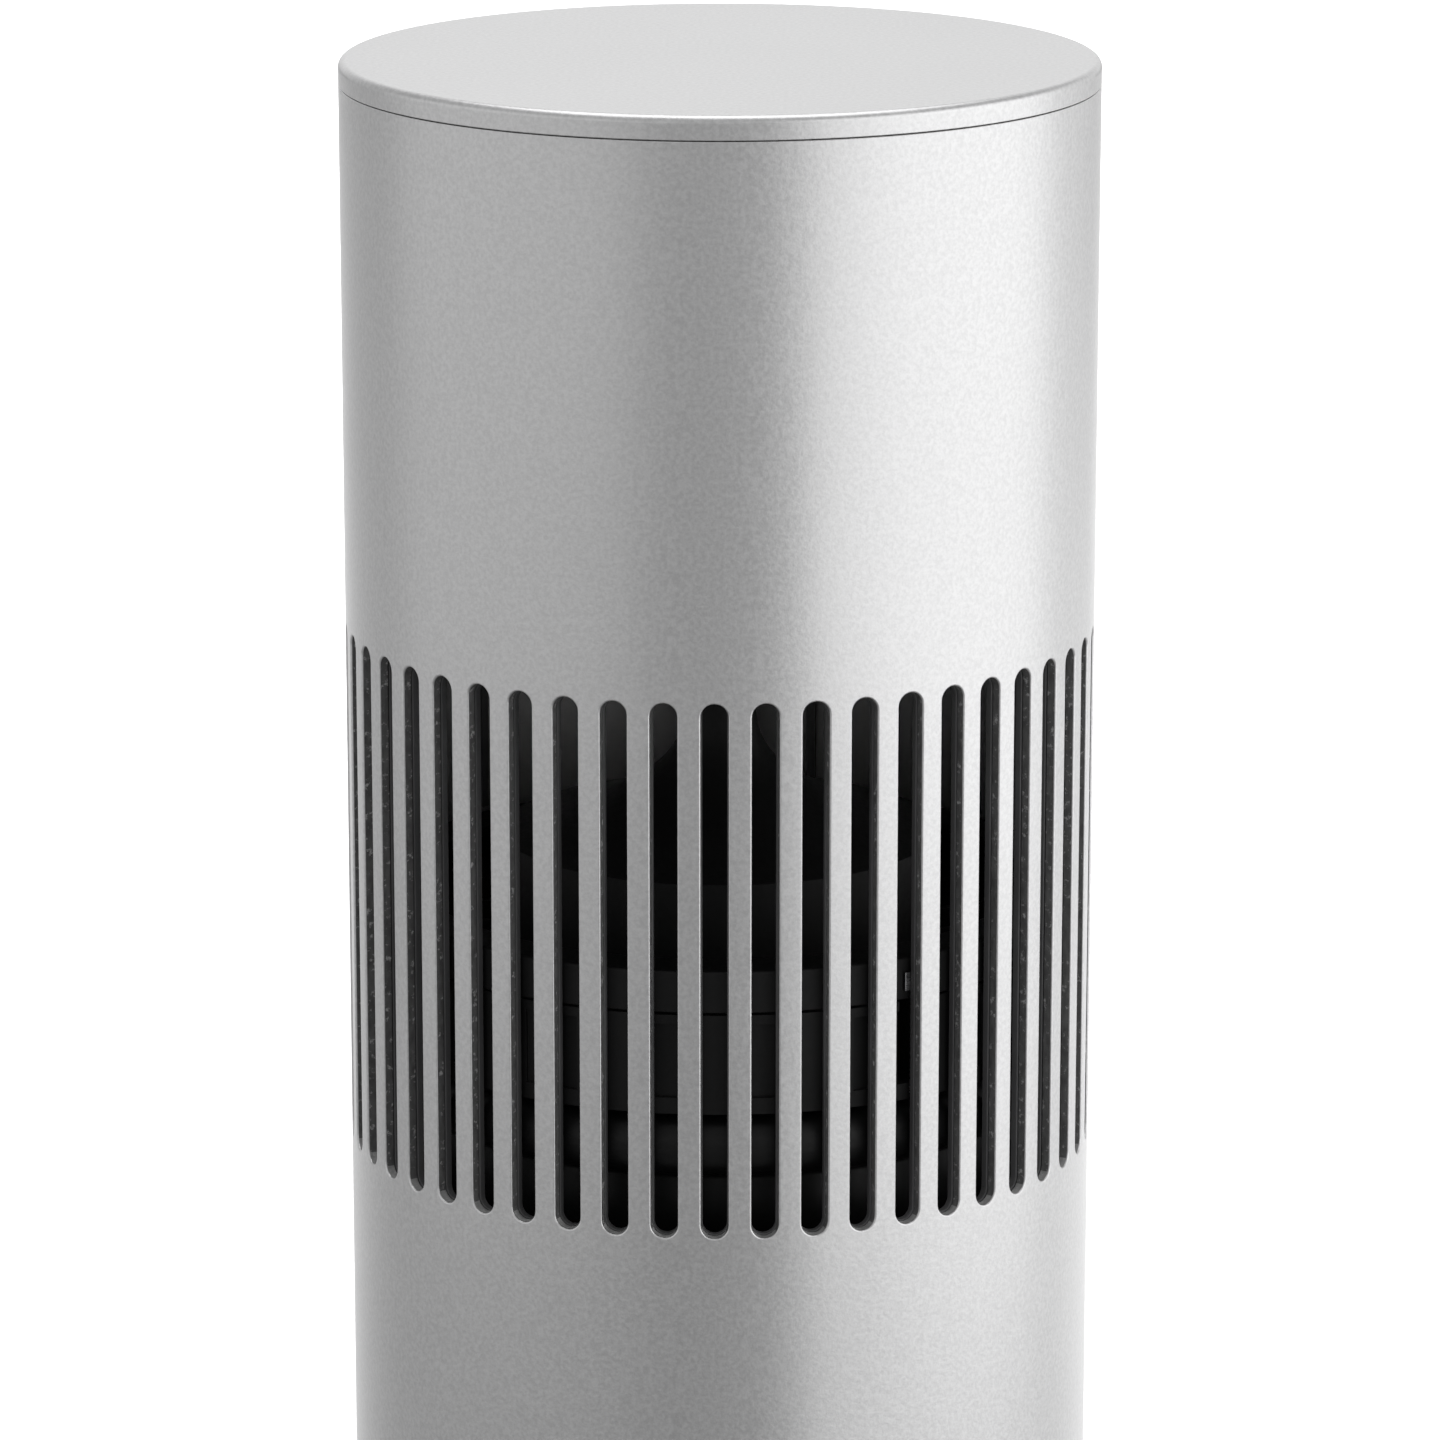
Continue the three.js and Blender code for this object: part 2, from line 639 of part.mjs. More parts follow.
function buildImpeller(low, seatLevel) {
  const hubWall = 2.6;
  const domeHigh = seatLevel + 12;
  const hub = turned([
    [podRadius - hubWall, low], [podRadius, low], [podRadius, seatLevel],
    [podRadius - 6, seatLevel + 6], [podRadius - 18, seatLevel + 10], [10, domeHigh], [shaftBore, domeHigh],
    [shaftBore, seatLevel], [podRadius - hubWall, seatLevel],
  ]);
  const bladeLow = low + 3;
  const bladeHeight = 39;
  const tipClearance = 1.4;
  const oneBlade = blade(podRadius - 1.5, ductRadius - tipClearance, bladeLow, bladeLow + bladeHeight);
  add("impeller", join([hub, ...turnedCopies(oneBlade, evenly(9))]), darkPlastic);
  const nutRadius = 6;
  const nutHigh = domeHigh + 5;
  const nutBore = disc(shaftBore, domeHigh - 1, nutHigh + 1, coarse);
  add("impeller_nut", cut(disc(nutRadius, domeHigh, nutHigh, 6), [nutBore]), steel);
}

// ---------- Decks, dial and cap ----------

const pillarBearings = evenly(4, 45);
const pillarRadius = 60;
const deckBore = 6;
const deckLip = 2;
const dialShaftRadius = 2.9;

// The lower deck closes the top of the outlet chamber and carries the control board.
function buildOutletDeck() {
  const top = outletDeckLevel + deckThickness;
  const lipHigh = top + 8;
  const plate = turned([
    [deckBore, outletDeckLevel], [insideFit, outletDeckLevel], [insideFit, lipHigh],
    [insideFit - deckLip, lipHigh], [insideFit - deckLip, top], [deckBore, top],
  ], fine);
  const boardLow = top + 6;
  const propRadius = 2.6;
  const props = [-38, 38].flatMap((x) => [-24, 24].map((y) =>
    disc(propRadius, top - 1, boardLow, 10).translate(x, y, 0)));
  add("outlet_deck", join([plate, ...props]), darkPlastic);
  add("control_board", block(86, 58, boardLow, boardLow + boardThickness), circuit);
  pillarBearings.forEach((bearing, i) => {
    const pillar = disc(4, top, dialDeckLevel, 6).translate(...at(pillarRadius, bearing), 0);
    add(`deck_pillar_${i + 1}`, pillar, steel);
  });
}

function buildDial() {
  const top = dialDeckLevel + deckThickness;
  const lipHigh = top + 6;
  add("dial_deck", turned([
    [deckBore, dialDeckLevel], [insideFit, dialDeckLevel], [insideFit, lipHigh],
    [insideFit - deckLip, lipHigh], [insideFit - deckLip, top], [deckBore, top],
  ]), darkPlastic);
  const encoderWidth = 15;
  const bodyHigh = top + 7;
  const neckHigh = top + 12;
  const encoder = join([
    block(encoderWidth, encoderWidth, top, bodyHigh), disc(4.6, bodyHigh - 1, neckHigh, coarse),
  ]);
  add("dial_encoder", cut(encoder, [disc(dialShaftRadius + 0.4, top + 2, neckHigh + 1, 20)]), steel);
  add("dial_shaft", disc(dialShaftRadius, top + 2.5, capBottom - 1, 20), steel);
  add("glide_ring", ring(68, insideFit - deckLip - 0.4, top, hubLow - gap), glide);
}

function buildCap() {
  const screwPlace = 38;
  const shankRadius = 1.5;
  const headRadius = 2.8;
  const headHeight = 2.4;
  const screwHigh = capBottom + 2.8;
  const bearings = evenly(3);
  const spoke = block(14, 64, hubLow, hubLow + 5).translate(0, 37, 0);
  const boss = disc(6, hubLow, capBottom, coarse).translate(0, screwPlace, 0);
  const hole = disc(shankRadius + 0.4, hubLow - 1, screwHigh + 0.4, coarse).translate(0, screwPlace, 0);
  const holes = turnedCopies(hole, bearings);
  const hub = join([
    ring(66, 74.4, hubLow, capBottom),
    disc(9, hubLow, capBottom, 20),
    ...turnedCopies(boss, bearings),
    ...turnedCopies(spoke, bearings),
  ]);
  const shaftHole = disc(dialShaftRadius + gap, hubLow - 1, capBottom + 1, 20);
  add("cap_hub", cut(hub, [shaftHole, ...holes]), darkPlastic);
  const fillet = 1.6;
  const skirtInner = 74.8;
  const skirtLow = capBottom - 5;
  const cap = turned([
    [0, capBottom], [skirtInner, capBottom], [skirtInner, skirtLow], [insideFit, skirtLow],
    [insideFit, capBottom], [tubeRadius, capBottom],
    ...arc(tubeRadius - fillet, height - fillet, fillet, 0, 90, 2), [0, height],
  ], fine);
  add("top_cap", cut(cap, holes), aluminium);
  const screw = turned([
    [0, hubLow - headHeight], [headRadius, hubLow - headHeight], [headRadius, hubLow], [shankRadius, hubLow],
    [shankRadius, screwHigh], [0, screwHigh],
  ], coarse).translate(0, screwPlace, 0);
  turnedCopies(screw, bearings).forEach((copy, i) => {
    add(`cap_screw_${i + 1}`, copy, steel);
  });
}

// A straight channel for the wires, from the supply space to the outlet deck.
function buildConduit() {
  const wall = 1.4;
  const low = floorLevel - 6;
  const channel = block(conduitWidth, conduitDepth, low, outletDeckLevel, 0, conduitY);
  const bore = block(
    conduitWidth - 2 * wall, conduitDepth - 2 * wall, low - 1, outletDeckLevel + 1, 0, conduitY,
  );
  add("wire_conduit", cut(channel, [bore]), greyPlastic);
}

buildBase();
buildSupply();
buildRearPanel();
buildInlet();
buildRocker();
buildTube();
buildFilter();
buildAirPath();
buildVaneRing();
buildTailCone();
buildMotor();
buildOutletDeck();
buildDial();
buildCap();
buildConduit();

export default group;
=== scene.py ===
import json
import math

import bmesh
import bpy
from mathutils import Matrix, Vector
from mathutils.geometry import tessellate_polygon

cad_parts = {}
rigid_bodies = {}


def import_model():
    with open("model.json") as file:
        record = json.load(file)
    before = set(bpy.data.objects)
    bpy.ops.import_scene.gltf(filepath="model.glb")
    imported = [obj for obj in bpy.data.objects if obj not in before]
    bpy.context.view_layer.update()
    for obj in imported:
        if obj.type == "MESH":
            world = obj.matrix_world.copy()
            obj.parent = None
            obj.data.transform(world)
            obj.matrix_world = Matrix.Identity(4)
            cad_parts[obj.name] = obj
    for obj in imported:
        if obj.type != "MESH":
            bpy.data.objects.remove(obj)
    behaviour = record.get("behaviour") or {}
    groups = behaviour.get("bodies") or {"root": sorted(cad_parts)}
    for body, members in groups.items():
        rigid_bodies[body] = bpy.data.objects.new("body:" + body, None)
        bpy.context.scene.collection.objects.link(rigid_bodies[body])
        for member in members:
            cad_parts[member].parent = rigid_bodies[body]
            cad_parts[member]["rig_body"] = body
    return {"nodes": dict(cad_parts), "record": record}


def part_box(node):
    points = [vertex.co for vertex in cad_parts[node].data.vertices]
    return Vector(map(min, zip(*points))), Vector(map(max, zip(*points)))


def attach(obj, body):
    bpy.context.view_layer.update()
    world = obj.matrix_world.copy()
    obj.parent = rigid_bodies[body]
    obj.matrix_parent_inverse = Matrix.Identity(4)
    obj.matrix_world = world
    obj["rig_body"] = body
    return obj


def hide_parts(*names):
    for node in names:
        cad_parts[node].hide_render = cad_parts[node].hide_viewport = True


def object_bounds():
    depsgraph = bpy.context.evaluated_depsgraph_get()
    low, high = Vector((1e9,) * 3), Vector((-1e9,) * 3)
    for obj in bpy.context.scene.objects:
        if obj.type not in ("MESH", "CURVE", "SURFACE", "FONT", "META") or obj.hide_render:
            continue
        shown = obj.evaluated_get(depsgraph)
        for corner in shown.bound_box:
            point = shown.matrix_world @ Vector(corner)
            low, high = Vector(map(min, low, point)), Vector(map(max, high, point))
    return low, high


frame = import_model()
cad_low, cad_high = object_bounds()

MM = 0.001
TURN = 2 * math.pi

# ---------- Sizes, from the frame ----------

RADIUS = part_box("top_cap")[1].x
TUBE_WALL = 2.0 * MM
TUBE_INNER = RADIUS - TUBE_WALL
TUBE_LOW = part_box("outer_tube")[0].z
TUBE_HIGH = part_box("outer_tube")[1].z
LINER_MARGIN = 3.5 * MM
LINER_OUTER = TUBE_INNER - 0.3 * MM
LINER_INNER = LINER_OUTER - 1.4 * MM
SLOT_COUNT = 48
SLOT_PITCH = TURN / SLOT_COUNT
FRONT_SLOT = SLOT_COUNT // 2
SLOTS_EACH_SIDE = 13
OUTLET_SLOTS = range(FRONT_SLOT - SLOTS_EACH_SIDE, FRONT_SLOT + SLOTS_EACH_SIDE + 1)
INTAKE_SLOTS = range(SLOT_COUNT)
SLOT_HALF = 2.8 * MM
SLOT_LEDGE = 0.25 * MM
INSIDE_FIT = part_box("outlet_deck")[1].x
DUCT_RADIUS = 63.0 * MM
DUCT_SEAT = DUCT_RADIUS + 2.5 * MM


# ---------- Mesh making ----------

# Points closer than about a tenth of a micrometre are one point, and shorter stretches are left out.
PLACES_PER_METRE = 1e7
SHORTEST = 1e-7
JOIN_DISTANCE = 1e-6


def new_object(name, data):
    made = bpy.data.objects.new(name, data)
    bpy.context.scene.collection.objects.link(made)
    return made


class Skin:
    """Faces that carry their own exact normals, gathered into one mesh."""

    def __init__(self):
        self.points = []
        self.known = {}
        self.faces = []
        self.normals = []
        self.finishes = []

    def point(self, place):
        key = tuple(round(c * PLACES_PER_METRE) for c in place)
        if key not in self.known:
            self.known[key] = len(self.points)
            self.points.append(tuple(place))
        return self.known[key]

    def face(self, corners, finish=0):
        """corners are (place, normal) pairs. The winding follows the normals."""
        kept = []
        for place, normal in corners:
            index = self.point(place)
            if index not in [k[0] for k in kept]:
                kept.append((index, normal))
        if len(kept) < 3:
            return
        a, b, c = (Vector(self.points[kept[i][0]]) for i in range(3))
        across = (b - a).cross(c - a)
        if len(kept) == 4:
            across += (c - a).cross(Vector(self.points[kept[3][0]]) - a)
        if across.dot(sum((Vector(k[1]) for k in kept), Vector())) < 0:
            kept.reverse()
        self.faces.append([k[0] for k in kept])
        self.normals.extend(tuple(k[1]) for k in kept)
        self.finishes.append(finish)

    def make(self, name):
        mesh = bpy.data.meshes.new(name)
        mesh.from_pydata(self.points, [], self.faces)
        mesh.polygons.foreach_set("use_smooth", [True] * len(mesh.polygons))
        mesh.polygons.foreach_set("material_index", self.finishes)
        mesh.normals_split_custom_set(self.normals)
        mesh.validate()
        return new_object(name, mesh)


def rounded(corners, closed=True, steps=6):
    """Runs of (r, z, normal r, normal z) along a profile whose corners are (r, z, fillet).
    The profile runs counter-clockwise, so that its outside is on its right."""
    count = len(corners)
    ends = []
    arcs = []
    for i, (r, z, fillet) in enumerate(corners):
        here = Vector((r, z))
        if not fillet or (not closed and i in (0, count - 1)):
            ends.append((here, here))
            arcs.append([])
            continue
        back = (Vector(corners[i - 1][:2]) - here).normalized()
        ahead = (Vector(corners[(i + 1) % count][:2]) - here).normalized()
        half = back.angle(ahead) / 2
        start = here + back * (fillet / math.tan(half))
        end = here + ahead * (fillet / math.tan(half))
        centre = here + (back + ahead).normalized() * (fillet / math.sin(half))
        convex = back.x * ahead.y - back.y * ahead.x < 0
        first = (start - centre).normalized()
        last = (end - centre).normalized()
        arc = []
        for k in range(steps + 1):
            way = first.slerp(last, k / steps)
            spot = centre + way * fillet
            normal = way if convex else -way
            arc.append((spot.x, spot.y, normal.x, normal.y))
        ends.append((start, end))
        arcs.append(arc)
    runs = []
    for i in range(count):
        if arcs[i]:
            runs.append(arcs[i])
        if not closed and i == count - 1:
            break
        start, end = ends[i][1], ends[(i + 1) % count][0]
        along = end - start
        if along.length > SHORTEST:
            normal = Vector((along.y, -along.x)).normalized()
            runs.append([(start.x, start.y, *normal), (end.x, end.y, *normal)])
    return runs


def smooth_run(points):
    """One run through points on a curve, with the normals of the curve."""
    run = []
    for i, (r, z) in enumerate(points):
        (ra, za), (rb, zb) = points[max(i - 1, 0)], points[min(i + 1, len(points) - 1)]
        normal = Vector((zb - za, ra - rb)).normalized()
        run.append((r, z, normal.x, normal.y))
    return run


def evenly(count):
    return [TURN * i / count for i in range(count)]


def sweep(skin, runs, turns, centre=(0, 0)):
    """Carries the runs about a vertical line, from each turn to the next."""
    sides = [(math.sin(a), math.cos(a)) for a in turns]
    for near, far in zip(sides, sides[1:]):
        for run in runs:
            for p, q in zip(run, run[1:]):
                corners = []
                for (r, z, nr, nz), side in ((p, near), (q, near), (q, far), (p, far)):
                    place = (centre[0] + r * side[0], centre[1] + r * side[1], z)
                    corners.append((place, (nr * side[0], nr * side[1], nz)))
                skin.face(corners)


def revolve(skin, runs, angles, centre=(0, 0)):
    """Turns the runs all the way round."""
    sweep(skin, runs, [*angles, angles[0]], centre)


def revolve_part(skin, runs, start, stop, steps):
    """Turns the runs part of the way round, from one turn to another."""
    sweep(skin, runs, [start + (stop - start) * k / steps for k in range(steps + 1)])


def cut_face(skin, runs, turn, sign):
    """Closes a part-turned piece at one end. sign is 1 where the material ends as the turn grows."""
    normal = (sign * math.cos(turn), -sign * math.sin(turn), 0)
    points = [(r, z) for run in runs for r, z, _, _ in run]
    for a, b, c in tessellate_polygon([[(r, z, 0) for r, z in points]]):
        corners = []
        for r, z in (points[a], points[b], points[c]):
            corners.append(((r * math.sin(turn), r * math.cos(turn), z), normal))
        skin.face(corners)


def finish_piece(piece, node, materials):
    """Gives a piece its materials and its body, and hides the CAD node that it stands for."""
    if piece.data.materials:
        piece.data.materials.clear()
    for entry in materials:
        piece.data.materials.append(entry)
    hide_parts(node)
    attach(piece, frame["nodes"][node]["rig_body"])
    return piece


def turned_piece(node, profiles, material, segments=160, centre=(0, 0)):
    """A fine turned piece in place of a faceted CAD node. profiles is a list of (corners, closed)."""
    skin = Skin()
    for corners, closed in profiles:
        revolve(skin, rounded(corners, closed), evenly(segments), centre)
    return finish_piece(skin.make(node + "_fine"), node, [material])


FLAT_ANGLE = math.radians(1)
SHARP_ANGLE = math.radians(32)
CREASE_ANGLE = math.radians(40)


def soften(node, width):
    """A copy of a CAD node with its facets joined and shaded smooth and its sharp edges rounded."""
    source = frame["nodes"][node]
    mesh = source.data.copy()
    piece = new_object(node + "_fine", mesh)
    piece.matrix_world = source.matrix_world.copy()
    shape = bmesh.new()
    shape.from_mesh(mesh)
    bmesh.ops.remove_doubles(shape, verts=shape.verts, dist=JOIN_DISTANCE)
    bmesh.ops.dissolve_limit(shape, angle_limit=FLAT_ANGLE, verts=shape.verts, edges=shape.edges)
    joined = [e for e in shape.edges if len(e.link_faces) == 2]
    sharp = [e for e in joined if e.calc_face_angle(0) > SHARP_ANGLE]
    bmesh.ops.bevel(
        shape, geom=sharp, offset=width, offset_type="OFFSET", segments=2, profile=0.5,
        affect="EDGES", clamp_overlap=True,
    )
    for face in shape.faces:
        face.smooth = True
    shape.to_mesh(mesh)
    shape.free()
    mesh.set_sharp_from_angle(angle=CREASE_ANGLE)
    even = piece.modifiers.new("even_shading", "WEIGHTED_NORMAL")
    even.keep_sharp = True
    return finish_piece(piece, node, [MATERIAL_OF_SLOT[SLOT_OF[node]]])


# ---------- Materials ----------

SLOT_OF = {part["node"]: part["material_slot"] for part in frame["record"]["subparts"]}


def grey(level, blue=0.0):
    """A grey, with its blue a little higher or lower."""
    return (level, level, level + blue)


class Paint:
    """A node material around one Principled shader, with helpers for procedural detail."""

    def __init__(self, name, metallic=0.0, specular=0.5):
        self.material = bpy.data.materials.new(name)
        self.material.use_nodes = True
        self.nodes = self.material.node_tree.nodes
        self.links = self.material.node_tree.links
        self.shader = self.nodes["Principled BSDF"]
        self.shader.inputs["Metallic"].default_value = metallic
        self.shader.inputs["Specular IOR Level"].default_value = specular
        self.where = self.nodes.new("ShaderNodeTexCoord").outputs["Object"]

    def stretched(self, scale):
        mapping = self.nodes.new("ShaderNodeMapping")
        mapping.inputs["Scale"].default_value = scale
        self.links.new(self.where, mapping.inputs["Vector"])
        return mapping.outputs["Vector"]

    def noise(self, per_metre, detail=2.0, roughness=0.5, stretch=None):
        node = self.nodes.new("ShaderNodeTexNoise")
        node.inputs["Scale"].default_value = per_metre
        node.inputs["Detail"].default_value = detail
        node.inputs["Roughness"].default_value = roughness
        self.links.new(self.stretched(stretch) if stretch else self.where, node.inputs["Vector"])
        return node.outputs["Fac"]

    def spread(self, value, low, high, from_low=0.3, from_high=0.7):
        node = self.nodes.new("ShaderNodeMapRange")
        node.inputs["From Min"].default_value = from_low
        node.inputs["From Max"].default_value = from_high
        node.inputs["To Min"].default_value = low
        node.inputs["To Max"].default_value = high
        self.links.new(value, node.inputs["Value"])
        return node.outputs["Result"]

    def between(self, value, dark, light):
        """A colour from dark to light. dark is a colour, or a socket that gives one."""
        node = self.nodes.new("ShaderNodeMix")
        node.data_type = "RGBA"
        if isinstance(dark, tuple):
            node.inputs["A"].default_value = (*dark, 1)
        else:
            self.links.new(dark, node.inputs["A"])
        node.inputs["B"].default_value = (*light, 1)
        self.links.new(value, node.inputs["Factor"])
        return node.outputs["Result"]

    def add(self, a, b):
        node = self.nodes.new("ShaderNodeMath")
        node.operation = "ADD"
        self.links.new(a, node.inputs[0])
        self.links.new(b, node.inputs[1])
        return node.outputs["Value"]

    def set(self, socket, value):
        self.links.new(value, self.shader.inputs[socket])

    def bump(self, height, strength, distance):
        node = self.nodes.new("ShaderNodeBump")
        node.inputs["Strength"].default_value = strength
        node.inputs["Distance"].default_value = distance
        self.links.new(height, node.inputs["Height"])
        self.links.new(node.outputs["Normal"], self.shader.inputs["Normal"])


def blasted_aluminium():
    """Bead-blasted, anodised silver: a fine even grain that sparkles a little."""
    paint = Paint("blasted_aluminium", metallic=1.0)
    grain = paint.noise(1100, detail=3.0, roughness=0.6)
    cloud = paint.noise(14, detail=2.0)
    speckle = paint.spread(grain, 0.0, 1.0, 0.35, 0.65)
    paint.set("Base Color", paint.between(speckle, grey(0.60, 0.003), grey(0.70, 0.003)))
    wander = paint.spread(cloud, -0.012, 0.012)
    paint.set("Roughness", paint.add(paint.spread(grain, 0.33, 0.40), wander))
    paint.bump(grain, 0.28, 0.12 * MM)
    return paint.material


def sawn_metal_painted_light_and_shade(name, dark, light):
    """The cut walls of the slots: dull, with slanting tool marks and a few bright chips. The dark tone is
    painted shade inside the slots, and the paler copy for the sills is painted light on these upward faces.
    """
    paint = Paint(name, metallic=0.1, specular=0.25)
    marks = paint.noise(700, detail=3.0, stretch=(1.0, 1.0, 0.5))
    chips = paint.spread(paint.noise(620, detail=4.0, roughness=0.75), 0, 1, 0.57, 0.66)
    ground = paint.between(paint.spread(marks, 0, 1), dark, light)
    paint.set("Base Color", paint.between(chips, ground, grey(0.52)))
    paint.set("Roughness", paint.spread(marks, 0.6, 0.8))
    paint.bump(marks, 0.6, 0.2 * MM)
    return paint.material


def inside_metal():
    """The smooth metal face inside the closed back of the outlet, faintly streaked along the tube."""
    paint = Paint("inside_metal", metallic=0.7)
    streaks = paint.noise(60, detail=3.0, stretch=(1.0, 1.0, 0.06))
    grain = paint.noise(900, detail=2.0)
    paint.set("Base Color", paint.between(paint.spread(streaks, 0, 1), grey(0.44, 0.003), grey(0.56, 0.003)))
    paint.set("Roughness", paint.spread(grain, 0.44, 0.54))
    paint.bump(streaks, 0.1, 0.03 * MM)
    return paint.material


def moulded(name, dark, light, roughness, grain=900, depth=0.04, specular=0.5):
    """A moulded plastic with a fine grain."""
    paint = Paint(name, specular=specular)
    fine = paint.noise(grain, detail=3.0)
    broad = paint.noise(35, detail=2.0)
    paint.set("Base Color", paint.between(paint.spread(broad, 0, 1), dark, light))
    paint.set("Roughness", paint.spread(fine, roughness - 0.05, roughness + 0.05))
    paint.bump(fine, 0.25, depth * MM)
    return paint.material


def powder_coat():
    """Fine silver powder coat."""
    paint = Paint("silver_powder_coat", metallic=0.85)
    grain = paint.noise(1500, detail=2.0)
    flake = paint.spread(grain, 0, 1)
    paint.set("Base Color", paint.between(flake, grey(0.58, 0.005), grey(0.68, 0.005)))
    paint.set("Roughness", paint.spread(grain, 0.36, 0.46))
    paint.bump(grain, 0.2, 0.1 * MM)
    return paint.material


def turned_steel():
    """Steel with fine marks round its axis."""
    paint = Paint("turned_steel", metallic=1.0)
    marks = paint.noise(260, detail=3.0, stretch=(0.35, 0.35, 6.0))
    paint.set("Base Color", paint.between(paint.spread(marks, 0, 1), grey(0.42, 0.01), grey(0.56, 0.01)))
    paint.set("Roughness", paint.spread(marks, 0.22, 0.36))
    paint.bump(marks, 0.15, 0.05 * MM)
    return paint.material


def plain_brass():
    paint = Paint("plain_brass", metallic=1.0)
    marks = paint.noise(500, detail=2.0)
    paint.set("Base Color", paint.between(paint.spread(marks, 0, 1), (0.58, 0.44, 0.20), (0.70, 0.55, 0.28)))
    paint.set("Roughness", paint.spread(marks, 0.25, 0.4))
    paint.bump(marks, 0.15, 0.04 * MM)
    return paint.material


def filter_fibre():
    """Non-woven fibre: long soft strands over a felted ground."""
    paint = Paint("filter_fibre", specular=0.2)
    strands = paint.noise(700, detail=4.0, stretch=(1.0, 1.0, 0.35))
    felt = paint.noise(240, detail=4.0)
    both = paint.add(paint.spread(strands, 0, 0.6), paint.spread(felt, 0, 0.4))
    paint.set("Base Color", paint.between(both, (0.34, 0.35, 0.34), (0.56, 0.57, 0.55)))
    paint.set("Roughness", paint.spread(strands, 0.85, 1.0))
    paint.bump(both, 0.6, 0.25 * MM)
    return paint.material


def circuit_board():
    """Lacquered board with a faint pattern of tracks under the green."""
    paint = Paint("circuit_board", specular=0.5)
    tracks = paint.nodes.new("ShaderNodeTexBrick")
    tracks.inputs["Scale"].default_value = 260
    tracks.inputs["Mortar Size"].default_value = 0.06
    tracks.inputs["Color1"].default_value = (0.012, 0.085, 0.035, 1)
    tracks.inputs["Color2"].default_value = (0.016, 0.105, 0.045, 1)
    tracks.inputs["Mortar"].default_value = (0.03, 0.16, 0.07, 1)
    paint.links.new(paint.where, tracks.inputs["Vector"])
    paint.set("Base Color", tracks.outputs["Color"])
    cloud = paint.noise(300)
    paint.set("Roughness", paint.spread(cloud, 0.28, 0.42))
    paint.bump(tracks.outputs["Fac"], 0.3, 0.04 * MM)
    return paint.material


ALUMINIUM = blasted_aluminium()
# One slot metal in two tones: the darker paints the shade on the slot walls, the paler paints the light on
# the sills that face up.
SLOT_WALL_PAINTED_SHADE = sawn_metal_painted_light_and_shade("slot_wall_painted_shade", grey(0.11), grey(0.18))
SLOT_SILL_PAINTED_LIGHT = sawn_metal_painted_light_and_shade("slot_sill_painted_light", grey(0.30), grey(0.46))
INSIDE_METAL = inside_metal()
LINER = moulded(
    "liner_plastic", grey(0.10, 0.002), grey(0.15, 0.003), 0.6, grain=700, depth=0.15, specular=0.25,
)
BLACK = moulded("black_plastic", grey(0.010, 0.0002), grey(0.015, 0.0003), 0.5, depth=0.02, specular=0.2)
SATIN = moulded("satin_plastic", grey(0.006, 0.0002), grey(0.010, 0.0003), 0.4, depth=0.01, specular=0.24)
DARK = moulded("dark_plastic", grey(0.011, 0.001), grey(0.018, 0.001), 0.42)
GLOSS = moulded("gloss_plastic", grey(0.006, 0.001), grey(0.009, 0.001), 0.2, depth=0.008)
GREY = moulded("grey_plastic", grey(0.06, 0.003), grey(0.09, 0.004), 0.5, specular=0.25)
RUBBER = moulded("foot_rubber", grey(0.012), grey(0.024), 0.85, grain=500, depth=0.1, specular=0.3)
GLIDE = moulded("glide_plastic", grey(0.62, -0.03), grey(0.72, -0.03), 0.35)
POWDER = powder_coat()
STEEL = turned_steel()
BRASS = plain_brass()
FIBRE = filter_fibre()
BOARD = circuit_board()

MATERIAL_OF_SLOT = {
    "aluminium": ALUMINIUM,
    "base_paint": POWDER,
    "dark_plastic": DARK,
    "liner_plastic": LINER,
    "gloss_plastic": GLOSS,
    "black_plastic": BLACK,
    "grey_plastic": GREY,
    "steel": STEEL,
    "brass": BRASS,
    "rubber": RUBBER,
    "filter_fibre": FIBRE,
    "circuit_board": BOARD,
    "glide_plastic": GLIDE,
}


def paint_cad_nodes():
    for name, node in frame["nodes"].items():
        node.data.materials.clear()
        node.data.materials.append(MATERIAL_OF_SLOT[SLOT_OF[name]])


# ---------- Tube and liners ----------

# Each slot is cut from a tile one pitch wide, which reaches a little past the slot's ends.
ARC_STEPS = 16
TILE_HALF = SLOT_PITCH / 2
TUBE_REACH = 6 * MM
ANGLE_SLACK = 1e-9
TURN_SLACK = 1e-6
# A slot wall that looks down more than this, as the upright part of its direction, is the slot's sill, which
# takes the paler slot metal as painted light.
SILL_WAY = -0.4


def end_angles(reach):
    """Directions from a slot's end centre, from one side round to the other.
    The directions of the tile's corners are among them."""
    corner = math.atan2(reach + SLOT_HALF, RADIUS * math.sin(TILE_HALF))
    even = [math.pi * i / ARC_STEPS for i in range(ARC_STEPS + 1)]
    return sorted([*even, corner, math.pi - corner]), corner


def tile_edge(angle, corner, reach):
    """Where a ray from the slot's end centre leaves the tile.
    Returns the turn about the axis and the height above the centre."""
    side = RADIUS * math.sin(TILE_HALF)
    if angle < corner - ANGLE_SLACK:
        return TILE_HALF, side * math.tan(angle)
    if angle > math.pi - corner + ANGLE_SLACK:
        return -TILE_HALF, -side * math.tan(angle)
    rise = reach + SLOT_HALF
    across = rise / math.tan(angle)
    return math.asin(max(-1.0, min(1.0, across / RADIUS))), rise


def ring_angles(reach):
    """Where the top edges of all tiles have points, round the whole tube."""
    angles, corner = end_angles(reach)
    across = [a for a in angles if corner - ANGLE_SLACK <= a <= math.pi - corner + ANGLE_SLACK]
    turns = sorted({round(tile_edge(a, corner, reach)[0], 9) for a in across})
    return [k * SLOT_PITCH + t for k in range(SLOT_COUNT) for t in turns[:-1]]


RING = ring_angles(TUBE_REACH)


